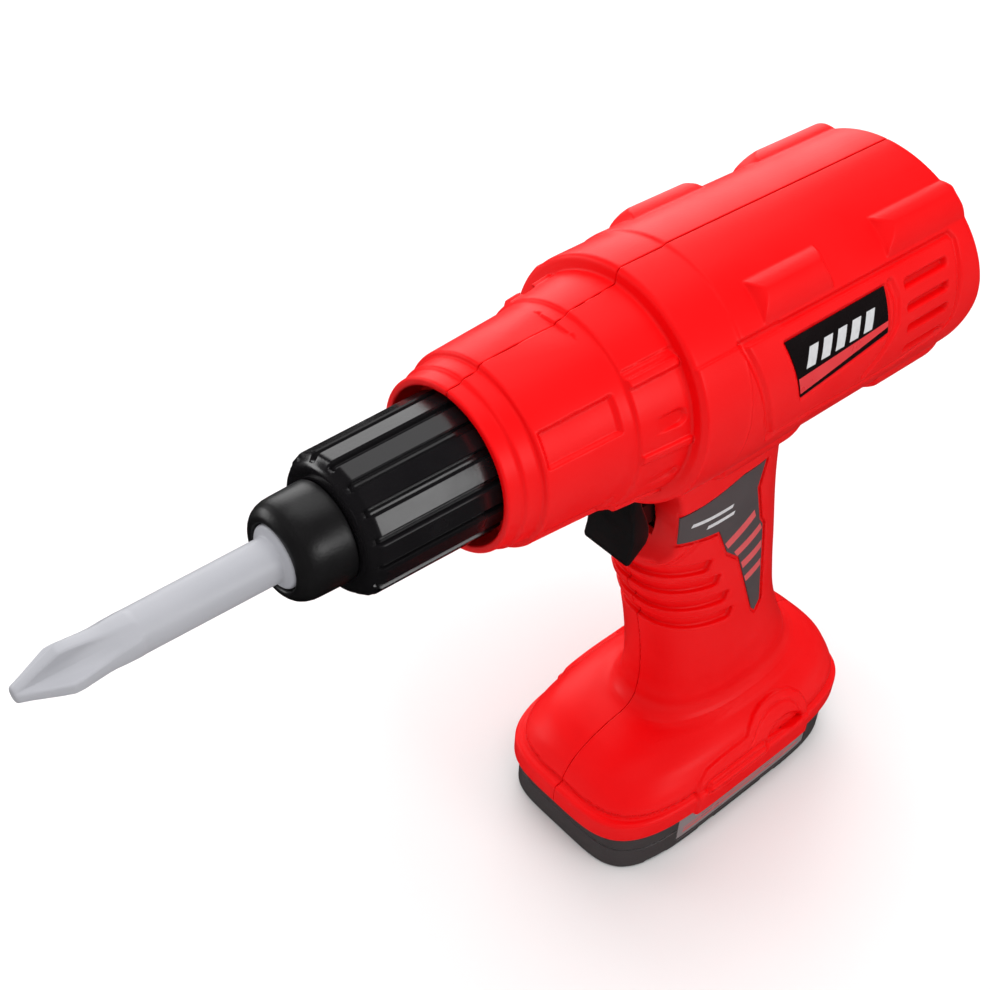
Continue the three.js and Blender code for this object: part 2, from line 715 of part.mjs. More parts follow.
function gearboxFrontPlate() {
  const plate = rodAlongX(FRONT_PLATE, FRONT_PLATE + PLATE_THICKNESS, PLATE_RADIUS, 24);
  const posts = [100, 180, 260].map((degrees) => {
    const angle = THREE.MathUtils.degToRad(degrees);
    const y = 20.5 * Math.sin(angle);
    const z = AXIS_HEIGHT + 20.5 * Math.cos(angle);
    return rodAlongX(FRONT_PLATE + 1, REAR_PLATE - GAP, 2.2, 8, y, z);
  });
  const spindleHole = rodAlongX(FRONT_PLATE - 1, FRONT_PLATE + 5, SPINDLE_RADIUS + GAP, 16);
  const pinHole = rodAlongX(FRONT_PLATE - 1, FRONT_PLATE + 5, PIN_RADIUS + GAP, 10, 0, UPPER_AXIS);
  return cut(join(plate, ...posts), spindleHole, pinHole);
}

function gearboxRearPlate() {
  const plate = rodAlongX(REAR_PLATE, REAR_PLATE + PLATE_THICKNESS, PLATE_RADIUS, 24);
  const bossHole = rodAlongX(REAR_PLATE - 1, REAR_PLATE + 4, 3.4, 16);
  const pinHole = rodAlongX(REAR_PLATE - 1, REAR_PLATE + 4, PIN_RADIUS + GAP, 10, 0, UPPER_AXIS);
  return cut(plate, bossHole, pinHole);
}

// ---------- motor ----------

function motorCan() {
  const can = turned([
    [MOTOR_FRONT, PIN_RADIUS + GAP],
    [MOTOR_FRONT, MOTOR_RADIUS - 0.8],
    [MOTOR_FRONT + 0.8, MOTOR_RADIUS],
    [MOTOR_REAR, MOTOR_RADIUS],
    [MOTOR_REAR, PIN_RADIUS + GAP],
  ], 20);
  const flats = box(MOTOR_FRONT - 1, MOTOR_REAR + 1, -7.6, 7.6, AXIS_HEIGHT - 12, AXIS_HEIGHT + 12);
  return can.intersect(flats);
}

function motorEndCap() {
  const cap = turned([
    [MOTOR_REAR + GAP, PIN_RADIUS + GAP],
    [MOTOR_REAR + GAP, MOTOR_RADIUS - 0.4],
    [MOTOR_REAR + 3, MOTOR_RADIUS - 0.8],
    [MOTOR_REAR + 3, PIN_RADIUS + GAP],
  ], 20);
  return cap.intersect(box(MOTOR_REAR, MOTOR_REAR + 4, -7.4, 7.4, AXIS_HEIGHT - 12, AXIS_HEIGHT + 12));
}

function motorTerminal(side) {
  const x = MOTOR_REAR + 3 + GAP;
  const z = AXIS_HEIGHT + 6 * side;
  return cut(box(x, x + 3.2, -1.2, 1.2, z - 0.25, z + 0.25), rodAlongZ(x + 2, 0, z - 1, z + 1, 0.5, 10));
}

// ---------- trigger and switch ----------

// The blade seen from the side: a slightly hollow finger face and rounded side plates behind it.
const TRIGGER_OUTLINE = [
  [-0.9, 11.2],
  [-0.6, 7],
  [0.5, 2.3],
  [1, -2.5],
  [0.7, -7],
  [0.1, -9.9],
  [0.4, -11.2],
  [1.4, -11.6],
  [3.9, -9.4],
  [6.4, -7.2],
  [7, -5],
  [6.6, -2],
  [5.2, 1.5],
  [3.6, 5],
  [2.4, 8],
  [2.2, 11.2],
];

function trigger() {
  const face = TRIGGER_OUTLINE.map(([x, z]) => [TRIGGER_FRONT + x, TRIGGER_HEIGHT + z]);
  const hollow = [
    [TRIGGER_WALL_REAR, TRIGGER_HEIGHT + 12],
    [TRIGGER_WALL_REAR, TRIGGER_HEIGHT - 4],
    [TRIGGER_WALL_REAR + 1.4, TRIGGER_HEIGHT - 7],
    [STEM_REAR, TRIGGER_HEIGHT - 7],
    [STEM_REAR, TRIGGER_HEIGHT + 12],
  ];
  const body = sidePrism(face, -TRIGGER_HALF_WIDTH, TRIGGER_HALF_WIDTH);
  const corners = lofted([
    [TRIGGER_HEIGHT - 20, TRIGGER_FRONT + 9.2, 10.3, TRIGGER_HALF_WIDTH + 0.1, 4],
    [TRIGGER_HEIGHT + 14, TRIGGER_FRONT + 9.2, 10.3, TRIGGER_HALF_WIDTH + 0.1, 4],
  ]);
  const plates = TRIGGER_HALF_WIDTH - 1.8;
  const stem = box(TRIGGER_FRONT + 2, STEM_REAR, -3.2, 3.2, TRIGGER_HEIGHT - 6.5, TRIGGER_HEIGHT + 0.5);
  return join(cut(body.intersect(corners), sidePrism(hollow, -plates, plates)), stem);
}

function triggerSpring() {
  return coil(TRIGGER_WALL_REAR + 0.6, SWITCH_FRONT - 0.9, 2.3, 2.3, 6, 0.4, 0, SPRING_HEIGHT);
}

function switchPlunger() {
  const z = TRIGGER_HEIGHT - 4;
  return rodAlongX(STEM_REAR + GAP, SWITCH_FRONT + 4, 1, 12, 0, z);
}

function switchBlock() {
  const z = TRIGGER_HEIGHT - 4;
  const block = box(SWITCH_FRONT, SWITCH_FRONT + 11, -6, 6, TRIGGER_HEIGHT - 12, TRIGGER_HEIGHT + 9);
  return block.subtract(rodAlongX(SWITCH_FRONT - 1, SWITCH_FRONT + 9.5, 1.3, 12, 0, z));
}

function switchTerminal(z) {
  const x = SWITCH_FRONT + 11 + GAP;
  return cut(box(x, x + 3.4, -1.3, 1.3, z - 0.25, z + 0.25), rodAlongZ(x + 2.2, 0, z - 1, z + 1, 0.5, 10));
}

// ---------- battery ----------

function batteryCase() {
  const outline = CASE_SECTIONS[0].slice(1);
  const [x, depth, width, power] = outline;
  const neckSection = [RIM_MIDDLE, RIM_DEPTH - WALL - GAP, RIM_WIDTH - WALL - GAP, 3.4];
  const chamfered = [0, x, depth - 0.5, width - 0.5, power];
  const body = lofted([chamfered, [0.8, ...outline], [CASE_HEIGHT, ...outline]]);
  const neck = lofted([[CASE_HEIGHT - 1, ...neckSection], [NECK_TOP, ...neckSection]]);
  const boreSection = [x, depth - 2.4, width - 2.2, power];
  const bore = lofted([[-1, ...boreSection], [NECK_TOP + 1, ...boreSection]]);
  const room = box(-32.6, 32.6, -FAR, FAR, -2, 30);
  const ledge = cut(lofted([[DOOR_THICKNESS + GAP, ...outline], [5.6, ...outline]], 1), room);
  const post = rodAlongZ(DOOR_SCREW_X, 0, DOOR_THICKNESS + GAP, 12, 3.4, 16);
  const pilot = rodAlongZ(DOOR_SCREW_X, 0, 0, 10.5, 1.6, 12);
  let solid = cut(join(cut(join(body, neck), bore), ledge, post), pilot);
  const pocketSkin = lofted([[-1, ...outline], [CASE_HEIGHT, ...outline]], -3);
  const pocket = pocketSkin.subtract(lofted([[-2, ...outline], [CASE_HEIGHT + 1, ...outline]], 0.75));
  for (const side of [-1, 1]) {
    solid = solid.subtract(pocket.intersect(onSide(grown(BATTERY_LABEL, GAP), side)));
  }
  const seam = lofted([[7.2, ...outline], [7.8, ...outline]], -1)
    .subtract(lofted([[6, ...outline], [9, ...outline]], 0.3))
    .intersect(box(-60, -26, -FAR, FAR, 0, 20));
  return solid.subtract(seam);
}

function batteryDoor() {
  const [x, depth, width, power] = CASE_SECTIONS[0].slice(1);
  const outline = [x, depth - 2.7, width - 2.5, power];
  const door = lofted([[0, ...outline], [DOOR_THICKNESS, ...outline]]);
  const hole = rodAlongZ(DOOR_SCREW_X, 0, -1, 4, 1.6, 12);
  const sink = rodAlongZ(DOOR_SCREW_X, 0, -1, 1.6, 3.1, 16);
  const grip = box(-36, -31, -9, 9, -1, 0.8);
  return cut(door, hole, sink, grip);
}

function batteryDoorScrew() {
  const head = rodAlongZ(DOOR_SCREW_X, 0, 0.2, 1.6 - GAP, 2.8, 16);
  const shank = rodAlongZ(DOOR_SCREW_X, 0, 1, 10, 1.3, 10);
  return join(head, shank);
}

function batteryCell(y) {
  const half = CELL_LENGTH / 2;
  return turned([
    [-half - 1.2, 0],
    [-half - 1.2, 2.6],
    [-half, 2.6],
    [-half, CELL_RADIUS - 0.4],
    [-half + 0.5, CELL_RADIUS],
    [half - 0.5, CELL_RADIUS],
    [half, CELL_RADIUS - 0.4],
    [half, 0],
  ], 16, y, CELL_HEIGHT);
}

function batteryContact(x) {
  return box(x, x + 0.5, -19.8, 19.8, 6.2, 16.6);
}

// ---------- assembly ----------

const red = { color: 0xe60d12, roughness: 0.35, metalness: 0 };
const black = { color: 0x0c0c0d, roughness: 0.3, metalness: 0 };
const lightGrey = { color: 0xc9cbd1, roughness: 0.4, metalness: 0 };
const darkGrey = { color: 0x3c3a3a, roughness: 0.45, metalness: 0 };
const steel = { color: 0xb5b8bb, roughness: 0.3, metalness: 1 };
const brass = { color: 0xc9a24a, roughness: 0.35, metalness: 1 };
const nylon = { color: 0xe9e6da, roughness: 0.5, metalness: 0 };
const copperRed = { color: 0xb0161a, roughness: 0.5, metalness: 0 };
const cellGreen = { color: 0x2d6b3c, roughness: 0.4, metalness: 0 };

const drill = new THREE.Group();

function place(name, look, solid) {
  const mesh = new THREE.Mesh(toGeometry(solid), new THREE.MeshStandardMaterial(look));
  mesh.name = name;
  drill.add(mesh);
}

place('housing_left', red, housingHalf(-1));
place('housing_right', red, housingHalf(1));
SCREWS.forEach(([x, z], i) => place(`housing_screw_${i + 1}`, steel, housingScrew(x, z)));

place('chuck_sleeve', black, chuckSleeve());
place('chuck_nose', black, chuckNose());
place('screwdriver_bit', lightGrey, screwdriverBit());
place('drive_spindle', steel, driveSpindle());
place('spindle_bush', brass, spindleBush());

place('output_gear', nylon, outputGear());
place('compound_gear', nylon, compoundGear());
place('motor_pinion', brass, motorPinion());
place('gear_pin', steel, gearPin());
place('gearbox_front_plate', nylon, gearboxFrontPlate());
place('gearbox_rear_plate', nylon, gearboxRearPlate());

place('motor_can', steel, motorCan());
place('motor_end_cap', black, motorEndCap());
place('motor_shaft', steel, rodAlongX(COMPOUND_STEP - 0.1, MOTOR_REAR + 3.4, PIN_RADIUS, 10));
place('motor_terminal_upper', brass, motorTerminal(1));
place('motor_terminal_lower', brass, motorTerminal(-1));

place('trigger', black, trigger());
place('trigger_spring', steel, triggerSpring());
place('switch_plunger', nylon, switchPlunger());
place('switch_block', black, switchBlock());
place('switch_terminal_upper', brass, switchTerminal(TRIGGER_HEIGHT + 5));
place('switch_terminal_lower', brass, switchTerminal(TRIGGER_HEIGHT - 9));

place('battery_case', darkGrey, batteryCase());
place('battery_door', darkGrey, batteryDoor());
place('battery_door_screw', steel, batteryDoorScrew());
for (const i of [-1, 0, 1]) {
  const y = i * CELL_PITCH;
  const springFront = CELL_LENGTH / 2 + 0.8;
  place(`battery_cell_${i + 2}`, cellGreen, batteryCell(y));
  const spring = coil(springFront, springFront + 4.2, 2, 3.6, 3, 0.35, y, CELL_HEIGHT);
  place(`battery_spring_${i + 2}`, steel, spring);
}
place('battery_contact_front', brass, batteryContact(-CELL_LENGTH / 2 - 2.4));
place('battery_contact_rear', brass, batteryContact(CELL_LENGTH / 2 + 5.8));

place('wire_motor', copperRed, wire([
  [-6.2, 0, 119.6],
  [-2.6, 0, 122],
  [-1.6, 0, 131],
  [1, 0, 139],
  [7, 0, 140.6],
  [14, 0, 141.4],
  [19, 0, 144.4],
  [16.6, 0, 148.6],
], 0.7, 18));
place('wire_battery', black, wire([
  [-6.2, 0, 104.2],
  [1, 0, 100],
  [6, 0, 84],
  [5, 0, 60],
  [-4, 0, 36],
  [-22, 0, 24],
  [-26.6, 0, 18],
], 0.7, 20));

place('side_label_left', black, sideLabel(-1));
place('side_label_right', black, sideLabel(1));
place('handle_label_left', darkGrey, handleLabel(-1));
place('handle_label_right', darkGrey, handleLabel(1));
place('battery_label_left', lightGrey, batteryLabel(-1));
place('battery_label_right', lightGrey, batteryLabel(1));

export default drill;
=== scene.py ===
import json
import math
import bmesh
import bpy
import numpy as np
import openvdb as vdb
from mathutils import Matrix, Vector
from mathutils.geometry import delaunay_2d_cdt


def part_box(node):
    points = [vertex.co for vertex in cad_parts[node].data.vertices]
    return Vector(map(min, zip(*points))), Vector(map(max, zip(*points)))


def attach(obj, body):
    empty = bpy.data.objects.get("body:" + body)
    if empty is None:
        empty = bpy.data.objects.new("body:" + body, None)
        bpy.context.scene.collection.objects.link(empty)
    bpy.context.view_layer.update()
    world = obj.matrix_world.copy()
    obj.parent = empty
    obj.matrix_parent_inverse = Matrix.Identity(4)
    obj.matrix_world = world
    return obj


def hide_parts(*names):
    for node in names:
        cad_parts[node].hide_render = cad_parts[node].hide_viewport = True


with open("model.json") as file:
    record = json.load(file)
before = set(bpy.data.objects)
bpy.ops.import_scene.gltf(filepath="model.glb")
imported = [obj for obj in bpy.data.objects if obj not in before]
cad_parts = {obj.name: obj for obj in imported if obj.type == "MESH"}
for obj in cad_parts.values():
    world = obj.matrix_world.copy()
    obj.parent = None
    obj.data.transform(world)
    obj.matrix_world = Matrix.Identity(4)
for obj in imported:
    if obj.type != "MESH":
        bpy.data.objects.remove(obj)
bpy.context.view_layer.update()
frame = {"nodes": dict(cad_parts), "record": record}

MM = 0.001
SIDES = {"left": -1, "right": 1}


def box_mm(node):
    low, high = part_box(node)
    return [v / MM for v in low], [v / MM for v in high]


HOUSING_LOW, HOUSING_HIGH = box_mm("housing_left")
JOINTS = {joint["name"]: joint for joint in frame["record"]["behaviour"]["joints"]}
AXIS = JOINTS["chuck_spin"]["pos_m"][2] / MM
FRONT = HOUSING_LOW[0]
RIM_REAR = HOUSING_HIGH[0]
REAR = RIM_REAR - 1.6  # the barrel stops short of the rim of the foot
MAIN_RADIUS = 28.5
WALL = 2.2
HANDLE_WALL = 3.1

# ---------- shape tools: signed distances in millimetres, negative inside ----------


def smooth_max(a, b, k):
    h = np.clip(k - np.abs(a - b), 0, None)
    return np.maximum(a, b) + h * h / (4 * k)


def smooth_min(a, b, k):
    return -smooth_max(-a, -b, k)


def polygon(px, py, points):
    """Signed distance to a closed outline."""
    best = np.full(np.shape(px), 1e9)
    inside = np.zeros(np.shape(px), bool)
    for (ax, ay), (bx, by) in zip(points, points[1:] + points[:1]):
        best = np.minimum(best, segment(px, py, ax, ay, bx, by))
        if ay != by:
            crossing = (ay > py) != (by > py)
            inside ^= crossing & (px < (bx - ax) * (py - ay) / (by - ay) + ax)
    return np.where(inside, -best, best)


def segment(px, py, ax, ay, bx, by):
    ex, ey = bx - ax, by - ay
    wx, wy = px - ax, py - ay
    t = np.clip((wx * ex + wy * ey) / (ex * ex + ey * ey), 0, 1)
    return np.hypot(wx - ex * t, wy - ey * t)


def path(px, py, points):
    """Distance to an open line of points."""
    best = np.full(np.shape(px), 1e9)
    for (ax, ay), (bx, by) in zip(points, points[1:]):
        best = np.minimum(best, segment(px, py, ax, ay, bx, by))
    return best


def rounded_box(px, py, x0, x1, y0, y1, corner):
    dx = np.abs(px - (x0 + x1) / 2) - (x1 - x0) / 2 + corner
    dy = np.abs(py - (y0 + y1) / 2) - (y1 - y0) / 2 + corner
    outside = np.hypot(np.maximum(dx, 0), np.maximum(dy, 0))
    return outside + np.minimum(np.maximum(dx, dy), 0) - corner


def ramp(d, start, end):
    """0 where d is at start or beyond, 1 at end or beyond, smooth between."""
    t = np.clip((d - start) / (end - start), 0, 1)
    return t * t * (3 - 2 * t)


def blurred(values, sigma):
    reach = int(math.ceil(3 * sigma))
    weights = np.exp(-0.5 * (np.arange(-reach, reach + 1) / sigma) ** 2)
    weights /= weights.sum()
    for axis in (0, 1):
        pad = [(reach, reach) if a == axis else (0, 0) for a in (0, 1)]
        padded = np.pad(values, pad, mode="edge")
        n = values.shape[axis]
        values = sum(w * np.take(padded, range(k, k + n), axis=axis) for k, w in enumerate(weights))
    return values


class Table:
    """A function of two variables, sampled once and read back by straight-line interpolation."""

    def __init__(self, u_range, v_range, step, function, blur=0):
        self.u0, self.v0, self.step = u_range[0], v_range[0], step
        u = np.arange(u_range[0], u_range[1] + step, step)
        v = np.arange(v_range[0], v_range[1] + step, step)
        values = function(*np.meshgrid(u, v, indexing="ij"))
        if blur:
            values = blurred(values, blur / step)
        self.rows, self.columns = values.shape
        self.values = values.astype(np.float32).ravel()

    def __call__(self, u, v):
        i = np.clip((u - self.u0) / self.step, 0, self.rows - 1.001)
        j = np.clip((v - self.v0) / self.step, 0, self.columns - 1.001)
        i0 = i.astype(np.int32)
        j0 = j.astype(np.int32)
        fi = i - i0
        fj = j - j0
        at = i0 * self.columns + j0
        low = self.values[at] * (1 - fj) + self.values[at + 1] * fj
        high = self.values[at + self.columns] * (1 - fj) + self.values[at + self.columns + 1] * fj
        return low * (1 - fi) + high * fi


class Loft:
    """Rounded sections [z, centre x, half depth, half width, squareness] joined by smooth curves."""

    def __init__(self, sections, step=0.25):
        data = np.array(sections, float)
        z = data[:, 0]
        slope = np.gradient(data[:, 1:], z, axis=0)
        self.z0, self.z1, self.step = z[0], z[-1], step
        grid = np.arange(z[0], z[-1] + step, step)
        k = np.clip(np.searchsorted(z, grid) - 1, 0, len(z) - 2)
        h = (z[k + 1] - z[k])[:, None]
        t = np.clip((grid - z[k])[:, None] / h, 0, 1)
        self.rows = ((1 + 2 * t) * (1 - t) ** 2 * data[k, 1:] + t * (1 - t) ** 2 * h * slope[k]
                     + t * t * (3 - 2 * t) * data[k + 1, 1:] + t * t * (t - 1) * h * slope[k + 1])
        self.tilt = np.gradient(self.rows[:, 1], step)

    def __call__(self, x, s, z):
        i = np.clip((z - self.z0) / self.step, 0, len(self.rows) - 1)
        i0 = np.minimum(i.astype(np.int32), len(self.rows) - 2)
        f = i - i0
        cx, a, b, p = (self.rows[i0, c] * (1 - f) + self.rows[i0 + 1, c] * f for c in range(4))
        u = np.maximum(np.abs(x - cx) / a, 1e-6)
        v = np.maximum(s / b, 1e-6)
        up = u ** (p - 1)
        vp = v ** (p - 1)
        g = (up * u + vp * v) ** (1 / p)
        grad = g ** (1 - p) * np.hypot(up / a, vp / b)
        flat = (g - 1) / grad
        return flat / np.sqrt(1 + self.tilt[i0] ** 2)


# ---------- housing ----------

BARREL = [
    (FRONT, -6), (FRONT, 18.5), (-86.3, 18.7), (-86.3, 19.4), (-82.4, 19.7), (-82.4, 20.9),
    (-61.4, 22.3), (-60, 22.5), (-60, 23.2), (-47, 24.5), (-47, 27.1), (-46.2, 27.9),
    (-33.6, 28.1), (-33.6, MAIN_RADIUS),
]
ROUND_LENGTH = 4
ROUND_FALL = 2.4
END_AT_AXIS = REAR - 1.8
END_LEAN = math.radians(14.5)
BARREL += [
    (REAR - ROUND_LENGTH * (1 - math.sin(t)), MAIN_RADIUS - ROUND_FALL * (1 - math.cos(t)))
    for t in np.linspace(0, math.pi / 2, 12)
]
BARREL.append((REAR, -6))
barrel_profile = Table((FRONT - 6, REAR + 6), (-6, 40), 0.15, lambda x, r: polygon(x, r, BARREL), 0.32)


def arc(degrees):
    return math.radians(degrees) * MAIN_RADIUS


# Pads: start and end along the barrel, degrees around it, and the length of the slope at each end.
PAD_TURN = 48.8
PADS = [
    (-26.4, -4.6, PAD_TURN, 2, 1.6), (13.4, 42, PAD_TURN, 3.6, 2.6),
    (-30, -5, -PAD_TURN, 2.2, 2), (23, 46.6, -PAD_TURN, 3, 1),
]
PAD_HEIGHT = 2.25
PANEL = [
    (-33.6, arc(36.2)), (34.6, arc(35.6)), (35.8, arc(32)), (36.4, arc(15)), (37, arc(-8)),
    (35.4, arc(-13.5)), (21.4, arc(-18.4)), (7.3, arc(-19.5)), (-7.5, arc(-16.7)), (-24.5, arc(-17)),
    (-27.6, arc(-3.2)),
]
CHANNEL = [(12.3, arc(28.4)), (13.7, arc(20)), (13.6, arc(8.3)), (10.4, arc(-2.8)), (6.4, arc(-12))]
SIDE_LABEL = [(-22.3, arc(28.2)), (10.2, arc(28.9)), (11, arc(6.4)), (-17.4, arc(-1.6))]
VENTS = [(16.8, 31.9, 24.8), (17.5, 32.1, 13.4), (18.5, 33, 2.2), (19.7, 34.2, -10.6)]
CONE_SLOT = (-81.3, -63.2, arc(21.5), arc(42), 0.4)  # one long recess on each side of the cone
RING_RIBS = (arc(42.5), arc(2.5))
RIB_HALF = 1.2
RING_FRONT, RING_REAR = -59.6, -47.2
CONE_EDGE = -22  # the groove of the panel is wider in front of this place
RING_SLOT = (-60, -48.2, arc(13), arc(21), 2.2)


def relief(x, a):
    """Height of the detail on the barrel over the turned surface, by place along and around it."""
    h = np.zeros(np.shape(x))
    for x0, x1, degrees, front, rear in PADS:
        across = (a - arc(degrees)) * (1 if degrees > 0 else -1)
        slope = np.minimum((4.9 - across) / 3.6, (4.9 + across) / 6)
        bow = 1 - np.clip(np.abs(across) / 5, 0, 1) ** 2
        ends = np.minimum((x - x0) / (0.7 + front * bow), (x1 - x) / (0.7 + rear * bow))
        slope = np.minimum(slope, ends)
        slope = np.clip(slope, 0, 1)
        h = np.maximum(h, PAD_HEIGHT * slope * (1.6 - 0.6 * slope))
    plate = (x > -46.4) & (x < -33.6) & (np.abs(a) < arc(36))
    h = np.where(plate, 0.36, h)
    panel = polygon(x, a, PANEL)
    h = h - 0.8 * ramp(np.abs(panel), np.where(x < CONE_EDGE, 1.2, 0.8), 0.35)
    h = h - 0.55 * ramp(polygon(x, a, SIDE_LABEL), 0.55, 0.35)
    for x0, x1, degrees in VENTS:
        vent = rounded_box(x, a, x0, x1, arc(degrees) - 1, arc(degrees) + 1, 0.7)
        h = h - 1.7 * ramp(vent, 0.15, -0.25)
    h = h - 0.7 * ramp(path(x, a, CHANNEL), 1.5, 0.5)
    for mirror in (1, -1):
        b = a * mirror
        h = h - 0.9 * ramp(rounded_box(x, b, *CONE_SLOT), 0.3, -0.7)
        on_ring = (x > RING_FRONT) & (x < RING_REAR)
        bars = np.abs(b - RING_RIBS[0]) - RIB_HALF
        if mirror > 0:
            bars = np.minimum(bars, np.abs(b - RING_RIBS[1]) - RIB_HALF)
        h = h + np.where(on_ring, 0.7 * ramp(bars, 0.35, -0.35), 0)
        h = h - np.where(on_ring, 0.35 * ramp(np.abs(b - arc(48.5)), 0.7, 0.2), 0)
        fading = ramp(x, -57, -50)
        h = h - 0.8 * fading * ramp(rounded_box(x, b, *RING_SLOT), 0.25, -0.35)
    return h


barrel_relief = Table((FRONT - 6, REAR + 6), (arc(-92), arc(92)), 0.15, relief, 0.16)

HANDLE = [
    (33.2, 8.4, 33.2, 17.8, 2.3), (36.5, 7.4, 28.6, 15.6, 2.4), (42, 6.5, 26.3, 14.9, 2.45),
    (51, 3.9, 24, 14.5, 2.5), (62, 0.6, 22.6, 14.3, 2.5), (74, -2.6, 22.6, 14.3, 2.5),
    (85.5, -5.9, 23.6, 14.3, 2.5), (108.6, -12, 24.8, 14.3, 2.55), (138, -15.1, 24.3, 14.3, 2.6),
]
DOME = [
    (10, 1.5, 47.2, 26.3, 3.8), (21.2, 1.5, 47.2, 26.3, 3.8), (24, 2.1, 46.5, 26.1, 3.6),
    (26.9, 2.9, 45.3, 25, 3.2), (30, 4.2, 42.5, 22.8, 3), (32.2, 5.5, 39, 19.8, 2.8),
    (33.8, 7.3, 34.2, 17, 2.5), (34.6, 8, 29, 13.8, 2.4),
]
RIM = (1.1, RIM_REAR - 1.1, 27.4, 4)
RIM_BOTTOM = HOUSING_LOW[2]
handle_loft = Loft(HANDLE)
dome_loft = Loft(DOME)
rim_loft = Loft([(0, *RIM), (40, *RIM)])
SCOOPS = [(-44.6, 115.5, 15.4), (-41.5, 107.5, 13.7)]
LIP = [(-19.1, 107.4), (-22.3, 105.8), (-24.5, 103.1), (-27.5, 99.9), (-30.2, 98), (-36, 95.6)]
GROOVES = [(-17, 94.2), (-12.5, 86.9), (-7.9, 78.6), (-4.7, 70.7)]
GROOVE_HALF = 2.1
GROOVE_DEPTH = 1.6
RAKE = math.radians(10)
HANDLE_LABEL = [
    (-29, 115), (-10.7, 119.6), (-1.5, 119.2), (-3.3, 111.5), (0.9, 98.8), (3.1, 95.8), (8.5, 66.4),
    (6.7, 63.8), (5.1, 65.6), (-5.7, 90.6), (-11, 95.4), (-15.7, 104.9), (-28, 106.3),
]
SCREWS = [
    tuple((low + high) / 2 for low, high in zip(*box_mm(f"housing_screw_{i}")))
    for i in range(1, 6)
]
LATCH = [
    (-21, 13), (-20.8, 21.5), (-19.6, 25.9), (-16.6, 28.6), (-11.5, 29.4), (-0.6, 29.8), (1.4, 32.4),
    (4.4, 34.8), (8, 36.4), (12, 36.9), (16, 36.4), (19.8, 34.6), (22.8, 30.8), (24.5, 25.6), (25, 20),
    (25, 13),
]
LATCH_HOLE = [
    (6.6, 23.9), (8.6, 26.3), (11.4, 27.6), (14.6, 27.7), (18, 26.6), (21.2, 24.4), (22.6, 21.8), (18, 21.2),
]
label_pocket = Table((-40, 20), (55, 130), 0.2, lambda x, z: polygon(x, z, HANDLE_LABEL), 0.2)


def latch_height(x, v):
    """Height of the latch panel on the foot: a raised arch with a bar, a ring groove and a recess."""
    d = polygon(x, v, LATCH)
    hole = polygon(x, v, LATCH_HOLE)
    bar = rounded_box(x, v, -17, 6, 19.6, 23.8, 1.5)
    raised = 1 + 0.55 * ramp(bar, 0.1, -0.9) - 0.5 * ramp(np.abs(bar - 0.4), 0.6, 0.1)
    ring = np.where((x > 0.5) & (v > 22), 0.35 * ramp(np.abs(d + 3.4), 0.6, 0.1), 0)
    return ramp(d, 0.25, -0.35) * (raised - ring - 1.3 * ramp(hole, 0.2, -0.5))


latch_relief = Table((-30, 32), (10, 48), 0.2, latch_height, 0.2)

CONE_FLAT = 21.5  # height over the axis at which the top of the cone is cut level
MOUTH_RADIUS = 16.8
MOUTH_FLOOR = -83
BUSH_RADIUS = 6.3
BUSH_REAR = -75
FRONT_WALL = -80.6
RIM_TOP = 20.6
HANDLE_BASE = 33.4
DOME_TOP = 34.4
GRIP_TOP = 140
TRIGGER_HEIGHT = 114.0
FAR = 5.0  # a distance that is outside of everything
BOSS_RADIUS = 3.8
WELL_RADIUS = 3.3
WELL_FLOOR = 8  # distance from the seam to the floor of a screw well
SCREW_HOLE = 1.9


def handle_solid(x, s, z):
    """Outside and hollow of the grip, with its finger scoop, label recess and grooves."""
    handle = handle_loft(x, s, z)
    circles = [np.hypot(x - cx, z - cz) - radius for cx, cz, radius in SCOOPS]
    scoop = smooth_min(*circles, 1.5)
    hollow = np.maximum(handle + HANDLE_WALL, -(scoop - WALL))
    recess = np.maximum(label_pocket(x, z) - 0.8, -(handle + 0.75))
    handle = handle + 0.4 * ramp(path(x, z, LIP), 1.2, 0.2)
    handle = np.where(s > 9, smooth_max(handle, -recess, 0.3), handle)
    for gx, gz in GROOVES:
        along = (x - gx) * math.sin(RAKE) + (z - gz) * math.cos(RAKE)
        across = (x - gx) * math.cos(RAKE) - (z - gz) * math.sin(RAKE)
        slot = rounded_box(across, along, -60, 0.6, -GROOVE_HALF, GROOVE_HALF, 1.4)
        handle = smooth_max(handle, -smooth_max(slot, -(handle + GROOVE_DEPTH), 0.8), 0.6)
    handle = smooth_max(handle, -scoop, 1.2)
    handle = np.maximum(handle, HANDLE_BASE - z)
    return np.where(z > GRIP_TOP, FAR, handle), hollow


def foot_solid(x, s, z):
    """Outside and hollow of the foot: a dome, the rim round its base and the latch on its side."""
    foot = smooth_max(dome_loft(x, s, z), z - DOME_TOP, 0.5)
    middle = (RIM_BOTTOM + RIM_TOP) / 2
    rim = smooth_max(rim_loft(x, s, z), np.abs(z - middle) - (RIM_TOP - RIM_BOTTOM) / 2, 1.4)
    foot = np.maximum(foot, np.maximum(RIM_BOTTOM - z, -foot - 60))
    crease = np.maximum(np.abs(z - RIM_TOP - 0.7) - 0.45, -(foot + 0.6))
    foot = smooth_min(smooth_max(foot, -crease, 0.3), rim, 0.3)
    up_the_slope = z - 0.7 * (s - RIM[2] + 0.1)
    foot = foot - 0.9 * latch_relief(x, up_the_slope) * ramp(s, 10, 12)
    hollow = dome_loft(x, s, np.maximum(z + WALL, 16)) + WALL * 0.7
    return foot, np.maximum(np.maximum(hollow, z - HANDLE_BASE + 0.4), -foot - 60)


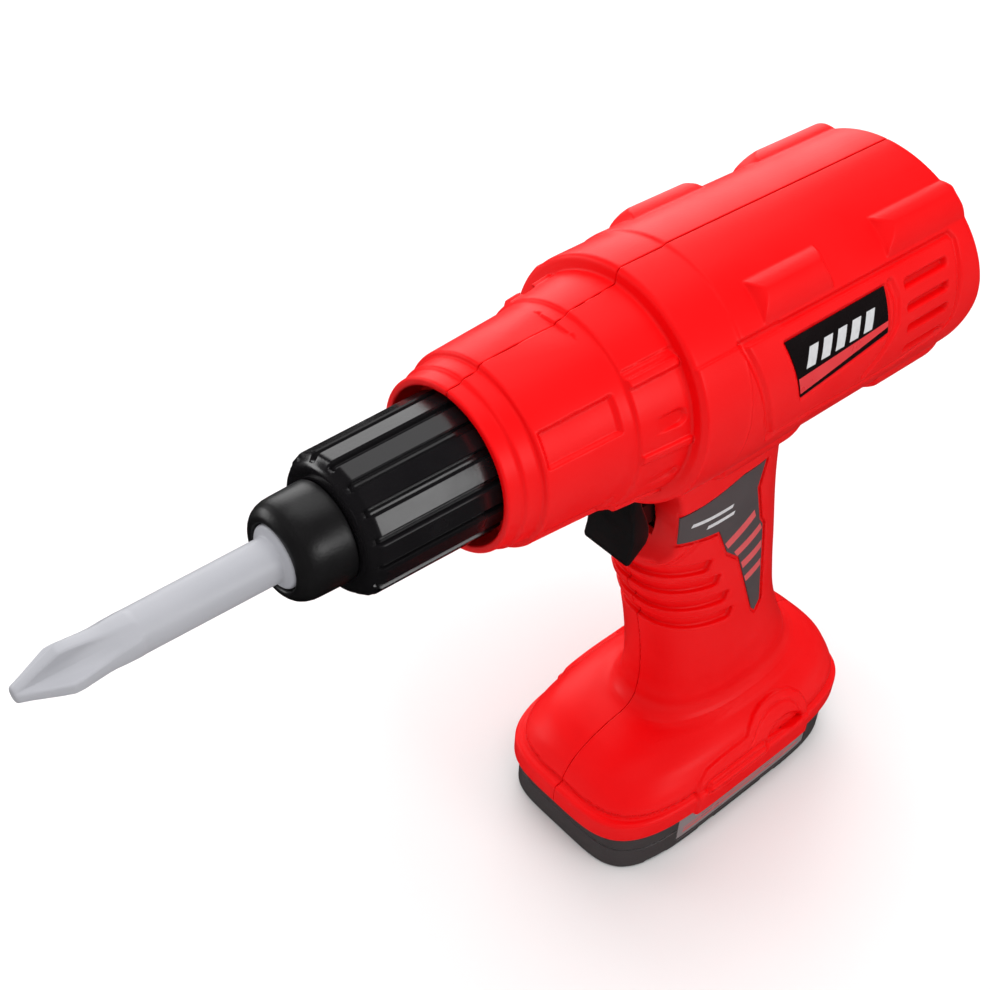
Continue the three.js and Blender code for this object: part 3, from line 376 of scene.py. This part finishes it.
def housing(x, y, z, wells=False):
    """The left half; x, y, z are flat arrays. y counts outwards from the seam."""
    s = np.abs(y)
    up = z - AXIS
    r = np.hypot(s, up)
    around = np.arctan2(up, s) * MAIN_RADIUS
    turned = barrel_profile(x, r)
    outer = barrel_profile(x, r - barrel_relief(x, around))
    on_cone_top = (x > -79) & (x < -63) & (up > CONE_FLAT - 3.5)
    outer = np.where(on_cone_top, smooth_max(outer, up - CONE_FLAT, 0.5), outer)
    end = (x - END_AT_AXIS) * math.cos(END_LEAN) + up * math.sin(END_LEAN)
    outer = smooth_max(outer, end, 1.6)
    inner = np.maximum(np.maximum(turned, end) + WALL, FRONT_WALL - x)

    low = np.flatnonzero((z < GRIP_TOP + 2) & (np.abs(x) < 56))
    if len(low):
        lx, ls, lz = x[low], s[low], z[low]
        handle, handle_in = handle_solid(lx, ls, lz)
        foot, foot_in = foot_solid(lx, ls, lz)
        merged = smooth_min(outer[low], smooth_min(handle, foot, 1.2), 0.9)
        slot = np.maximum(np.abs(lz - TRIGGER_HEIGHT) - 10, np.maximum(ls - 3.7, lx + 22))
        outer[low] = np.maximum(merged, -np.maximum(slot, -60 - lx))
        inner[low] = np.minimum(inner[low], np.minimum(handle_in, foot_in))

    shell = smooth_max(outer, -inner, 0.4)
    for sx, _, sz in SCREWS:
        boss = np.maximum(np.hypot(x - sx, z - sz) - BOSS_RADIUS, outer + 0.4)
        shell = np.minimum(shell, boss)
    mouth = np.maximum(r - MOUTH_RADIUS, x - MOUTH_FLOOR)
    bush = np.maximum(r - BUSH_RADIUS, x - BUSH_REAR)
    shell = smooth_max(shell, -mouth, 0.5)
    shell = np.maximum(shell, -bush)
    if wells:
        for sx, _, sz in SCREWS:
            hole = np.hypot(x - sx, z - sz)
            shell = smooth_max(shell, -np.maximum(hole - WELL_RADIUS, WELL_FLOOR - s), 0.4)
            shell = np.maximum(shell, -(hole - SCREW_HOLE))
    return smooth_max(shell, 0.04 - y, 0.16)


# ---------- meshing ----------


def sample(function, low, high, step):
    axes = [np.arange(a, b + step, step, dtype=np.float32) for a, b in zip(low, high)]
    grid = np.empty([len(a) for a in axes], np.float32)
    for start in range(0, len(axes[0]), 12):
        part = axes[0][start:start + 12]
        x, y, z = (c.ravel() for c in np.meshgrid(part, axes[1], axes[2], indexing="ij"))
        grid[start:start + 12] = function(x, y, z).reshape(len(part), len(axes[1]), len(axes[2]))
    return grid


def gradient(function, points, h=0.08):
    columns = []
    for axis in range(3):
        offset = np.zeros(3)
        offset[axis] = h
        ahead = points + offset
        behind = points - offset
        columns.append((function(*ahead.T.copy()) - function(*behind.T.copy())) / (2 * h))
    return np.stack(columns, 1)


def contour(function, low, high, step, steps=2):
    """Points and faces of the surface where the function is zero, pulled exactly onto it."""
    grid = sample(function, low, high, step)
    volume = vdb.FloatGrid(99.0)
    volume.copyFromArray(np.clip(grid, -3 * step, 3 * step))
    points, triangles, quads = volume.convertToPolygons(isovalue=0.0, adaptivity=0.0)
    points = points.astype(float) * step + np.array(low)
    for _ in range(steps):
        g = gradient(function, points)
        size = np.maximum((g * g).sum(1), 0.3)
        move = (function(*points.T.copy()) / size)[:, None] * g
        length = np.maximum(np.linalg.norm(move, axis=1), 1e-9)[:, None]
        points = points - move * np.minimum(1, 0.25 * step / length)
    faces = [list(f) for f in triangles.tolist()] + [list(f) for f in quads.tolist()]
    return points, faces


def mesh_object(name, points, faces, body, replaced=(), smooth=True):
    mesh = bpy.data.meshes.new(name)
    mesh.from_pydata((np.asarray(points) * MM).tolist(), [], faces)
    mesh.validate()
    mesh.update()
    obj = bpy.data.objects.new(name, mesh)
    bpy.context.scene.collection.objects.link(obj)
    mesh.polygons.foreach_set("use_smooth", [smooth] * len(mesh.polygons))
    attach(obj, body)
    if replaced:
        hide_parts(*replaced)
    return obj


def outward(obj):
    bm = bmesh.new()
    bm.from_mesh(obj.data)
    bmesh.ops.recalc_face_normals(bm, faces=bm.faces)
    bm.to_mesh(obj.data)
    bm.free()


def thinned(obj, ratio):
    modifier = obj.modifiers.new("thin", "DECIMATE")
    modifier.ratio = ratio
    depsgraph = bpy.context.evaluated_depsgraph_get()
    mesh = bpy.data.meshes.new_from_object(obj.evaluated_get(depsgraph))
    obj.modifiers.clear()
    old = obj.data
    obj.data = mesh
    bpy.data.meshes.remove(old)
    mesh.name = obj.name


def shade_from(obj, function, mirror=1):
    mesh = obj.data
    points = np.empty(len(mesh.vertices) * 3)
    mesh.vertices.foreach_get("co", points)
    points = points.reshape(-1, 3) / MM
    points[:, 1] *= mirror
    normals = gradient(function, points, 0.12)
    normals /= np.maximum(np.linalg.norm(normals, axis=1), 1e-9)[:, None]
    normals[:, 1] *= mirror
    mesh.polygons.foreach_set("use_smooth", [True] * len(mesh.polygons))
    mesh.normals_split_custom_set_from_vertices(normals.tolist())


def solid_piece(name, function, low, high, step, body, replaced, keep=0.35, mirror=1):
    points, faces = contour(function, low, high, step)
    points[:, 1] *= mirror
    obj = mesh_object(name, points, faces, body, replaced)
    outward(obj)
    if keep < 1:
        thinned(obj, keep)
    shade_from(obj, function, mirror)
    return obj


HOUSING_STEP = 0.45
low = (FRONT - 1, -1.2, RIM_BOTTOM - 1.2)
high = (REAR + 1, 33, AXIS + 33)
housing_left = solid_piece(
    "housing_left_shell", lambda x, y, z: housing(x, y, z), low, high, HOUSING_STEP,
    "drill_body", ["housing_left"], mirror=-1)
housing_right = solid_piece(
    "housing_right_shell", lambda x, y, z: housing(x, y, z, wells=True), low, high, HOUSING_STEP,
    "drill_body", ["housing_right"])

# ---------- turned pieces ----------

FLUTES = 16
FLUTE_PHASE = -0.5  # degrees


def ring_mesh(profile, segments, shape=None):
    """A closed profile [x, radius, share of the shape] turned about the barrel axis."""
    points, faces = [], []
    angles = [2 * math.pi * i / segments for i in range(segments)]
    for x, radius, share in profile:
        for i, t in enumerate(angles):
            r = radius + (shape(t) * share if shape and share else 0)
            points.append((x, -r * math.cos(t), AXIS + r * math.sin(t)))
    rows = len(profile)
    for k in range(rows):
        n = (k + 1) % rows
        for i in range(segments):
            j = (i + 1) % segments
            faces.append([k * segments + i, k * segments + j, n * segments + j, n * segments + i])
    return points, faces


def rounded_profile(profile, radius=0.35, steps=3):
    """The same closed profile with each sharp corner turned into a short arc."""
    out = []
    count = len(profile)
    for k in range(count):
        here = Vector(profile[k][:2])
        before = Vector(profile[k - 1][:2])
        after = Vector(profile[(k + 1) % count][:2])
        share = profile[k][2] if len(profile[k]) > 2 else 0
        a, b = before - here, after - here
        if a.length < 1e-6 or b.length < 1e-6 or abs(a.angle(b) - math.pi) < 0.2:
            out.append((here.x, here.y, share))
            continue
        reach = min(radius, 0.45 * a.length, 0.45 * b.length)
        p, q = here + a.normalized() * reach, here + b.normalized() * reach
        for i in range(steps + 1):
            t = i / steps
            m = p * (1 - t) ** 2 + here * 2 * t * (1 - t) + q * t * t
            out.append((m.x, m.y, share))
    return out


def flute(t):
    """Height of a flat bar with a narrow groove on each side of it."""
    turn = (math.degrees(t) - FLUTE_PHASE) / (360 / FLUTES) % 1
    edge = min(turn, 1 - turn)
    width = edge * 2 * math.pi * 15 / FLUTES
    groove = 1 - min(1, max(0, (width - 0.6) / 0.35))
    flat = 14.8 * (1 / math.cos((0.5 - edge) * 2 * math.pi / FLUTES) - 1)
    return flat - 1.3 * groove


def turned_piece(name, profile, segments, body, replaced, shape=None, corner=0.35):
    points, faces = ring_mesh(rounded_profile(profile, corner), segments, shape)
    obj = mesh_object(name, points, faces, body, replaced)
    outward(obj)
    return obj


def smooth_by_angle(obj, degrees):
    bpy.context.view_layer.objects.active = obj
    chosen = {"object": obj, "active_object": obj}
    chosen.update({"selected_objects": [obj], "selected_editable_objects": [obj]})
    with bpy.context.temp_override(**chosen):
        bpy.ops.object.shade_smooth_by_angle(angle=math.radians(degrees))


SLEEVE_LOW, SLEEVE_HIGH = box_mm("chuck_sleeve")
NOSE_LOW, NOSE_HIGH = box_mm("chuck_nose")
BIT_LOW, BIT_HIGH = box_mm("screwdriver_bit")
sf, sr = SLEEVE_LOW[0], SLEEVE_HIGH[0]
sleeve_profile = [
    (sf, 5.9, 0), (sf, 11.8, 0), (sf + 0.15, 12.5, 0), (sf + 0.6, 13.1, 0), (sf + 1.3, 13.6, 0.2),
    (sf + 1.7, 13.9, 0.5), (sf + 2.1, 14.3, 1), (sf + 2.7, 14.5, 1),
    (sf + 16, 14.75, 1), (sr - 1, 15.05, 1), (sr - 0.4, 15, 0.8), (sr, 14.6, 0.3), (sr, 13.5, 0),
    (sf + 6, 12.5, 0), (sf + 5, 8.5, 0), (sf + 22, 7.9, 0), (sf + 22, 5.9, 0),
]
sleeve = turned_piece("chuck_sleeve_fluted", sleeve_profile, FLUTES * 24, "chuck", ["chuck_sleeve"],
                      flute, 0.3)
smooth_by_angle(sleeve, 25)

nf, nr = NOSE_LOW[0], NOSE_HIGH[0]
nose_profile = [
    (nf + 2.4, 3.9, 0), (nf + 2.4, 6.6, 0), (nf + 0.9, 6.7, 0), (nf + 0.2, 6.9, 0), (nf, 7.4, 0),
    (nf + 0.15, 8, 0), (nf + 0.6, 8.6, 0), (nf + 1.3, 9.25, 0), (nf + 2.3, 9.75, 0), (nf + 3.5, 10.05, 0),
    (nf + 5, 10.15, 0),
    (nr - 0.2, 10.35, 0), (nr, 10.1, 0), (nr, 3.9, 0),
]
nose = turned_piece("chuck_nose_ring", nose_profile, 96, "chuck", ["chuck_nose"], None, 0.3)
smooth_by_angle(nose, 50)

# ---------- bit ----------

tip = BIT_LOW[0]
flange = nf + 2.4 - 0.3
bit_core = [
    (tip, -3), (tip, 1.0), (tip + 2, 1.35), (tip + 8, 2.4), (tip + 13, 3.3), (tip + 18, 4.15),
    (tip + 21, 4.3),
    (flange - 2.5, 4.5), (flange - 1.9, 6.1), (flange - 1.4, 6.4), (flange - 0.5, 6.4), (flange, 6.2),
    (flange, 3.3), (BIT_HIGH[0], 3.3), (BIT_HIGH[0], -3),
]
bit_sweep = [
    (tip, -3), (tip, 1.5), (tip + 8, 5.3), (tip + 9.6, 5.3), (tip + 16, 4.5), (tip + 21, 4.2),
    (tip + 21, -3),
]
BIT_RADII = (-3, 9)
bit_core_table = Table((tip - 4, BIT_HIGH[0] + 4), BIT_RADII, 0.1, lambda x, r: polygon(x, r, bit_core), 0.2)
bit_sweep_table = Table((tip - 4, tip + 26), BIT_RADII, 0.1, lambda x, r: polygon(x, r, bit_sweep), 0.25)


def bit_shape(x, y, z):
    up = z - AXIS
    r = np.hypot(y, up)
    core = bit_core_table(x, r)
    thick = 0.95 + 0.035 * np.clip(x - tip, 0, 20)
    blades = np.minimum(np.abs(y), np.abs(up)) - thick
    wings = smooth_max(bit_sweep_table(x, r), blades, 0.5)
    wings = np.where(x > tip + 22, FAR, wings)
    return smooth_min(core, wings, 1.3)


bit = solid_piece(
    "cross_bit", bit_shape, (tip - 1, -7.4, AXIS - 7.4), (BIT_HIGH[0] + 1, 7.4, AXIS + 7.4), 0.3,
    "bit", ["screwdriver_bit"], 0.5)

# ---------- trigger ----------

TRIGGER_LOW, TRIGGER_HIGH = box_mm("trigger")
tf, tz = TRIGGER_LOW[0] + 0.9, TRIGGER_HEIGHT
TRIGGER_HALF_WIDTH = TRIGGER_HIGH[1]
TRIGGER_WALL = 1.8
trigger_face = [(tf + x, tz + z) for x, z in (
    (-0.9, 11.2), (-0.6, 7), (0.5, 2.3), (1, -2.5), (0.7, -7), (0.1, -9.9), (0.4, -11.2), (1.4, -11.6),
    (3.9, -9.4), (6.4, -7.2), (7, -5), (6.6, -2), (5.2, 1.5), (3.6, 5), (2.4, 8), (2.2, 11.2),
)]
trigger_hollow = [(tf + x, tz + z) for x, z in ((1.8, 12), (1.8, -4), (4, -7), (24, -7), (24, 12))]


def trigger_shape(x, y, z):
    s = np.abs(y)
    side = rounded_box(x, s, tf - 1, tf + 30, -20, TRIGGER_HALF_WIDTH, 1.4)
    body = smooth_max(polygon(x, z, trigger_face), side, 0.8)
    hollow = np.maximum(polygon(x, z, trigger_hollow), s - TRIGGER_HALF_WIDTH + TRIGGER_WALL)
    body = smooth_max(body, -hollow, 0.5)
    stem = np.maximum(np.abs(z - tz + 3) - 3.5, np.maximum(s - 3.2, np.abs(x - tf - 7.4) - 5.4))
    return smooth_min(body, stem, 0.4)


trigger = solid_piece(
    "trigger_blade", trigger_shape, (tf - 2, -8.2, tz - 13), (TRIGGER_HIGH[0] + 1, 8.2, tz + 12.6), 0.35,
    "trigger", ["trigger"], 0.5)

# ---------- battery ----------

CASE_LOW, CASE_HIGH = box_mm("battery_case")
CASE = (0.8, 45.6, 25.6, 4.8)
case_loft = Loft([(-5, *CASE), (40, *CASE)])
CASE_TOP = 13.4
CASE_LINE = 7.6  # height of the parting line
CASE_WALL = 2.3
CASE_NOTCHES = ((-31, 3.5), (-12, 3), (14, 3))  # middle and half length of the notches along the base
BATTERY_LABEL = [(-24, 2.6), (30, 2.6), (30, 11.6), (-24, 11.6)]
DOOR_POST = 36.5
POST_RADIUS = 3.4
POST_HOLE = 1.6


def battery_shape(x, y, z):
    s = np.abs(y)
    side = case_loft(x, s, z)
    body = smooth_max(side, np.abs(z - CASE_TOP / 2) - CASE_TOP / 2, 1.0)
    seam = np.maximum(np.abs(z - CASE_LINE) - 0.25, -side - 0.35)
    body = smooth_max(body, -np.where((x < -8) | (x > 34), seam, 9.0), 0.2)
    for cx, half in CASE_NOTCHES:
        notch = np.maximum(np.maximum(np.abs(x - cx) - half, z - 0.9), 14 - s)
        body = smooth_max(body, -notch, 0.3)
    pocket = np.maximum(np.maximum(polygon(x, z, BATTERY_LABEL) - 0.35, -side - 0.6), 15 - s)
    body = smooth_max(body, -pocket, 0.3)
    neck = np.maximum(side + 0.9, np.abs(z - 15) - 2)
    body = np.minimum(body, neck)
    body = smooth_max(body, -(side + CASE_WALL), 0.3)
    ledge = np.maximum(np.maximum(side + 1, np.abs(z - 4.2) - 1.4), 32.6 - np.abs(x))
    from_post = np.hypot(x - DOOR_POST, y)
    post = np.maximum(from_post - POST_RADIUS, np.abs(z - 7.4) - 4.6)
    body = np.minimum(body, np.minimum(ledge, post))
    return np.maximum(body, -np.maximum(from_post - POST_HOLE, z - 10.5))


battery = solid_piece(
    "battery_case_body", battery_shape, (CASE_LOW[0] - 1, CASE_LOW[1] - 1, -1), [v + 1 for v in CASE_HIGH],
    0.45, "drill_body", ["battery_case"], 0.35)

# ---------- labels ----------


def dense(outline, spacing):
    points = []
    for (ax, ay), (bx, by) in zip(outline, outline[1:] + outline[:1]):
        count = max(1, int(math.hypot(bx - ax, by - ay) / spacing))
        points += [(ax + (bx - ax) * i / count, ay + (by - ay) * i / count) for i in range(count)]
    return points


def inside(u, v, outline):
    return float(polygon(np.array([u]), np.array([v]), outline)[0]) < 0


def label_piece(name, outline, graphics, place, thickness, materials, replaced, spacing=1.2):
    """A thin printed plate over a curved face; place(u, v, depth) gives a point on it in millimetres."""
    points, edges = [], []
    for loop in [outline] + [g[0] for g in graphics]:
        ring = dense(loop, spacing)
        start = len(points)
        points += ring
        edges += [(start + i, start + (i + 1) % len(ring)) for i in range(len(ring))]
    us = [p[0] for p in outline]
    vs = [p[1] for p in outline]
    for u in np.arange(min(us) + 0.7, max(us), spacing * 1.3):
        for v in np.arange(min(vs) + 0.7, max(vs), spacing * 1.3):
            if float(polygon(np.array([u]), np.array([v]), outline)[0]) < -0.5:
                points.append((u, v))
    verts, _, faces = delaunay_2d_cdt([Vector(p) for p in points], edges, [], 0, 1e-4, False)[:3]
    kept, index = [], []
    for f in faces:
        cu = sum(verts[i].x for i in f) / len(f)
        cv = sum(verts[i].y for i in f) / len(f)
        if not inside(cu, cv, outline):
            continue
        kept.append(list(f))
        index.append(next((g[1] for g in reversed(graphics) if inside(cu, cv, g[0])), 0))
    count = len(verts)
    top = [place(p.x, p.y, 0) for p in verts]
    bottom = [place(p.x, p.y, thickness) for p in verts]
    uses = {}
    for f in kept:
        for a, b in zip(f, f[1:] + f[:1]):
            uses[(a, b)] = 1
    rim = [(a, b) for a, b in uses if (b, a) not in uses]
    all_faces = list(kept) + [[i + count for i in reversed(f)] for f in kept]
    all_faces += [[b, a, a + count, b + count] for a, b in rim]
    index = index + [0] * (len(kept) + len(rim))
    mesh = bpy.data.meshes.new(name)
    mesh.from_pydata((np.array(top + bottom) * MM).tolist(), [], all_faces)
    for m in materials:
        mesh.materials.append(m)
    mesh.polygons.foreach_set("material_index", index)
    mesh.update()
    obj = bpy.data.objects.new(name, mesh)
    bpy.context.scene.collection.objects.link(obj)
    bm = bmesh.new()
    bm.from_mesh(mesh)
    bmesh.ops.delete(bm, geom=[v for v in bm.verts if not v.link_faces], context="VERTS")
    bmesh.ops.recalc_face_normals(bm, faces=bm.faces)
    bm.to_mesh(mesh)
    bm.free()
    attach(obj, "drill_body")
    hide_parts(*replaced)
    smooth_by_angle(obj, 40)
    return obj


# ---------- materials ----------


def srgb(r, g, b):
    def linear(c):
        c /= 255
        return c / 12.92 if c < 0.04045 else ((c + 0.055) / 1.055) ** 2.4
    return linear(r), linear(g), linear(b), 1


def moulded(name, low, high, rough, bump, grain, mottle, metal=0.0, specular=0.5):
    """A moulded or drawn surface: colour drifts between low and high, with a fine grain in its height."""
    material = bpy.data.materials.new(name)
    material.use_nodes = True
    nodes, links = material.node_tree.nodes, material.node_tree.links
    shader = nodes["Principled BSDF"]
    shader.inputs["Metallic"].default_value = metal
    shader.inputs["Specular IOR Level"].default_value = specular
    place = nodes.new("ShaderNodeTexCoord")
    drift = nodes.new("ShaderNodeTexNoise")
    drift.inputs["Scale"].default_value = mottle
    drift.inputs["Detail"].default_value = 3
    fine = nodes.new("ShaderNodeTexNoise")
    fine.inputs["Scale"].default_value = grain
    fine.inputs["Detail"].default_value = 2
    mix = nodes.new("ShaderNodeMix")
    mix.data_type = "RGBA"
    mix.inputs["A"].default_value = low
    mix.inputs["B"].default_value = high
    roughness = nodes.new("ShaderNodeMapRange")
    roughness.inputs["From Min"].default_value = 0.3
    roughness.inputs["From Max"].default_value = 0.7
    roughness.inputs["To Min"].default_value = rough[0]
    roughness.inputs["To Max"].default_value = rough[1]
    height = nodes.new("ShaderNodeBump")
    height.inputs["Strength"].default_value = bump
    height.inputs["Distance"].default_value = 0.0004
    links.new(place.outputs["Object"], drift.inputs["Vector"])
    links.new(place.outputs["Object"], fine.inputs["Vector"])
    links.new(drift.outputs["Fac"], mix.inputs["Factor"])
    links.new(mix.outputs["Result"], shader.inputs["Base Color"])
    links.new(drift.outputs["Fac"], roughness.inputs["Value"])
    links.new(roughness.outputs["Result"], shader.inputs["Roughness"])
    links.new(fine.outputs["Fac"], height.inputs["Height"])
    links.new(height.outputs["Normal"], shader.inputs["Normal"])
    return material


def finish(name, low, high, *values, **more):
    return moulded(name, srgb(*low), srgb(*high), *values, **more)


slots = {
    "red_shell": finish("red_abs", (237, 2, 7), (244, 5, 11), (0.34, 0.42), 0.05, 1400, 60, specular=0.18),
    "black_chuck": finish("black_gloss_abs", (18, 17, 19), (26, 24, 26), (0.2, 0.28), 0.04, 1200, 120,
                          specular=0.7),
    "black_part": finish("black_satin_abs", (19, 18, 19), (28, 27, 28), (0.3, 0.4), 0.06, 1600, 120),
    "grey_bit": finish("light_grey_plastic", (168, 169, 175), (180, 180, 186), (0.38, 0.46), 0.04, 1300, 70),
    "grey_pack": finish("warm_grey_abs", (66, 61, 62), (80, 75, 75), (0.36, 0.46), 0.08, 1500, 80),
    "nylon": finish("natural_nylon", (226, 221, 206), (236, 232, 219), (0.45, 0.55), 0.05, 900, 80),
    "steel": finish("plain_steel", (170, 172, 175), (196, 198, 200), (0.22, 0.36), 0.05, 1800, 300, 1.0),
    "brass": finish("stamped_brass", (186, 150, 80), (208, 172, 98), (0.25, 0.4), 0.05, 1500, 260, 1.0),
    "cell": finish("cell_sleeve", (34, 92, 52), (44, 112, 62), (0.25, 0.35), 0.03, 900, 60),
    "wire_red": finish("red_pvc", (170, 18, 22), (190, 26, 28), (0.45, 0.55), 0.05, 1500, 120),
    "wire_black": finish("black_pvc", (20, 20, 21), (30, 30, 31), (0.45, 0.55), 0.05, 1500, 120),
    "label_black": finish("black_film", (16, 12, 13), (26, 20, 21), (0.22, 0.3), 0.02, 1200, 160,
                          specular=0.15),
    "label_grey": finish("grey_film", (80, 73, 74), (90, 82, 83), (0.32, 0.42), 0.03, 1200, 120,
                         specular=0.25),
    "label_clear": finish("smoky_film", (138, 128, 130), (156, 146, 147), (0.24, 0.34), 0.03, 1200, 120),
}
silver_print = finish("silver_print", (196, 196, 198), (226, 226, 228), (0.3, 0.4), 0.02, 1500, 900)
red_print = finish("red_print", (222, 52, 58), (236, 62, 66), (0.25, 0.35), 0.02, 1500, 200)
coral_print = finish("coral_print", (218, 84, 88), (230, 94, 96), (0.3, 0.4), 0.02, 1500, 200)
white_print = finish("white_print", (222, 216, 216), (238, 232, 232), (0.3, 0.4), 0.02, 1500, 300)

# The CAD pieces that still show keep their shape and take the same finishes.
REPLACED = {"housing_left", "housing_right", "chuck_sleeve", "chuck_nose", "screwdriver_bit", "trigger",
            "battery_case"}
REPLACED |= {f"{place}_label_{side_name}" for place in ("side", "handle", "battery") for side_name in SIDES}
for part in frame["record"]["subparts"]:
    node = part["node"]
    if node in REPLACED:
        continue
    obj = frame["nodes"][node]
    obj.data.materials.clear()
    obj.data.materials.append(slots[part["material_slot"]])

for obj, name in (
    (housing_left, "red_shell"), (housing_right, "red_shell"), (sleeve, "black_chuck"), (nose, "black_part"),
    (bit, "grey_bit"), (trigger, "black_part"), (battery, "grey_pack"),
):
    obj.data.materials.clear()
    obj.data.materials.append(slots[name])


def slanted(u, v, length, height, lean):
    return [(u, v), (u + length, v), (u + length + lean, v + height), (u + lean, v + height)]


SIDE_GRAPHICS = [([(-18.9, 4.4), (10.8, 6.2), (10.9, 4.7), (-17.7, 0.2)], 1)]
for i in range(5):
    u = -16.6 + 4.7 * i
    SIDE_GRAPHICS.append((slanted(u, 5.9 + 0.12 * i, 2.9, 4.6, 1.3), 2))
HANDLE_GRAPHICS = [
    ([(-12.5, 98.9), (-2.7, 104.2), (-1.4, 101.4), (-10.9, 96.4)], 1),
    ([(-8.1, 93.6), (1.6, 97.2), (3.0, 94.6), (-6.4, 91.2)], 1),
    ([(-4.2, 87.8), (3.9, 90.2), (4.5, 87.2), (-2.9, 84.9)], 1),
    ([(-1.5, 81.3), (5.2, 83.2), (5.7, 80.4), (-0.3, 78.7)], 1),
    (slanted(-25.5, 110.6, 13, 1.1, 0.4), 2),
    (slanted(-20.5, 107.9, 9, 1.1, 0.4), 2),
]
BATTERY_GRAPHICS = [(slanted(-17.5 + 3.6 * i, 7.9, 2.2, 2.4, 0.8), 1) for i in range(9)]
BATTERY_GRAPHICS += [(slanted(-22, 4.0, 49, 0.8, 0.4), 2), (slanted(-22, 5.6, 44, 0.45, 0.3), 2)]


def on_barrel(side, recess):
    def place(u, v, depth):
        r = MAIN_RADIUS - recess - depth
        t = v / MAIN_RADIUS
        return (u, side * r * math.cos(t), AXIS + r * math.sin(t))
    return place


def on_loft(loft, side, recess):
    def place(u, v, depth):
        low, high = 2.0, 40.0
        for _ in range(26):
            middle = (low + high) / 2
            if float(loft(np.array([u]), np.array([middle]), np.array([v]))[0]) < -(recess + depth):
                low = middle
            else:
                high = middle
        return (u, side * low, v)
    return place


for side_name, side in SIDES.items():
    label_piece(
        f"side_label_print_{side_name}", SIDE_LABEL, SIDE_GRAPHICS, on_barrel(side, 0.28), 0.25,
        [slots["label_black"], red_print, silver_print], [f"side_label_{side_name}"])
    label_piece(
        f"handle_label_print_{side_name}", HANDLE_LABEL, HANDLE_GRAPHICS,
        on_loft(handle_loft, side, 0.45), 0.3,
        [slots["label_grey"], coral_print, silver_print], [f"handle_label_{side_name}"], 1.6)
    label_piece(
        f"battery_label_print_{side_name}", BATTERY_LABEL, BATTERY_GRAPHICS,
        on_loft(case_loft, side, 0.3), 0.25,
        [slots["label_clear"], white_print, coral_print], [f"battery_label_{side_name}"], 1.6)

# ---------- floor, lights and camera ----------

floor_mesh = bpy.data.meshes.new("floor")
floor_mesh.from_pydata([(-4, -4, 0), (4, -4, 0), (4, 4, 0), (-4, 4, 0)], [], [(0, 1, 2, 3)])
floor = bpy.data.objects.new("floor", floor_mesh)
bpy.context.scene.collection.objects.link(floor)
FLOOR_GREYS = ((0.86, 0.86, 0.86, 1), (0.89, 0.89, 0.89, 1))
floor_material = moulded("pale_floor", *FLOOR_GREYS, (0.7, 0.8), 0.01, 60, 3, specular=0.1)
floor_mesh.materials.append(floor_material)
floor.location.z = -0.0002
floor.visible_glossy = False

world = bpy.data.worlds.new("studio")
bpy.context.scene.world = world
world.use_nodes = True
world.node_tree.nodes["Background"].inputs["Color"].default_value = (1, 1, 1, 1)
world.node_tree.nodes["Background"].inputs["Strength"].default_value = 0.55
world.cycles_visibility.glossy = False

MIDDLE = Vector((-0.035, 0, 0.11))


def softbox(name, azimuth, elevation, distance, size, power, seen=True):
    light = bpy.data.lights.new(name, "AREA")
    light.shape = "RECTANGLE"
    light.size, light.size_y = size
    light.energy = power
    obj = bpy.data.objects.new(name, light)
    bpy.context.scene.collection.objects.link(obj)
    a, e = math.radians(azimuth), math.radians(elevation)
    away = Vector((math.sin(a) * math.cos(e), -math.cos(a) * math.cos(e), math.sin(e)))
    obj.location = MIDDLE + away * distance
    obj.rotation_euler = away.to_track_quat("Z", "Y").to_euler()
    obj.visible_glossy = seen
    return obj


softbox("top", -60, 78, 1.2, (1.0, 1.0), 9, seen=False)
softbox("far_right", 147, 20, 0.9, (0.9, 0.6), 3.4)
softbox("over", 130, 62, 1.0, (0.8, 0.6), 1.6)
softbox("near_right", 19, 20, 0.9, (0.42, 0.3), 1.5)
softbox("far_left", -150, 12, 0.9, (0.5, 0.3), 1.5)

LENS = 53.59
CAMERA_PLACE = (-0.2310, -0.1621, 0.3384)
CAMERA_ANGLES = (-43.69, 41.47, 3.33)  # azimuth, elevation and roll
camera_data = bpy.data.cameras.new("camera")
camera = bpy.data.objects.new("camera", camera_data)
bpy.context.scene.collection.objects.link(camera)
camera_data.sensor_width = 36
camera_data.lens = LENS
camera_data.clip_start = 0.01
camera_data.clip_end = 20
azimuth, elevation, roll = (math.radians(angle) for angle in CAMERA_ANGLES)
level = math.cos(elevation)
back = Vector((math.sin(azimuth) * level, -math.cos(azimuth) * level, math.sin(elevation)))
right = Vector((math.cos(azimuth), math.sin(azimuth), 0))
upward = back.cross(right)
cam_x = right * math.cos(roll) + upward * math.sin(roll)
cam_y = upward * math.cos(roll) - right * math.sin(roll)
turn = Matrix((cam_x, cam_y, back)).transposed().to_4x4()
camera.matrix_world = Matrix.Translation(Vector(CAMERA_PLACE)) @ turn
bpy.context.scene.camera = camera
bpy.context.scene.view_settings.view_transform = "Standard"
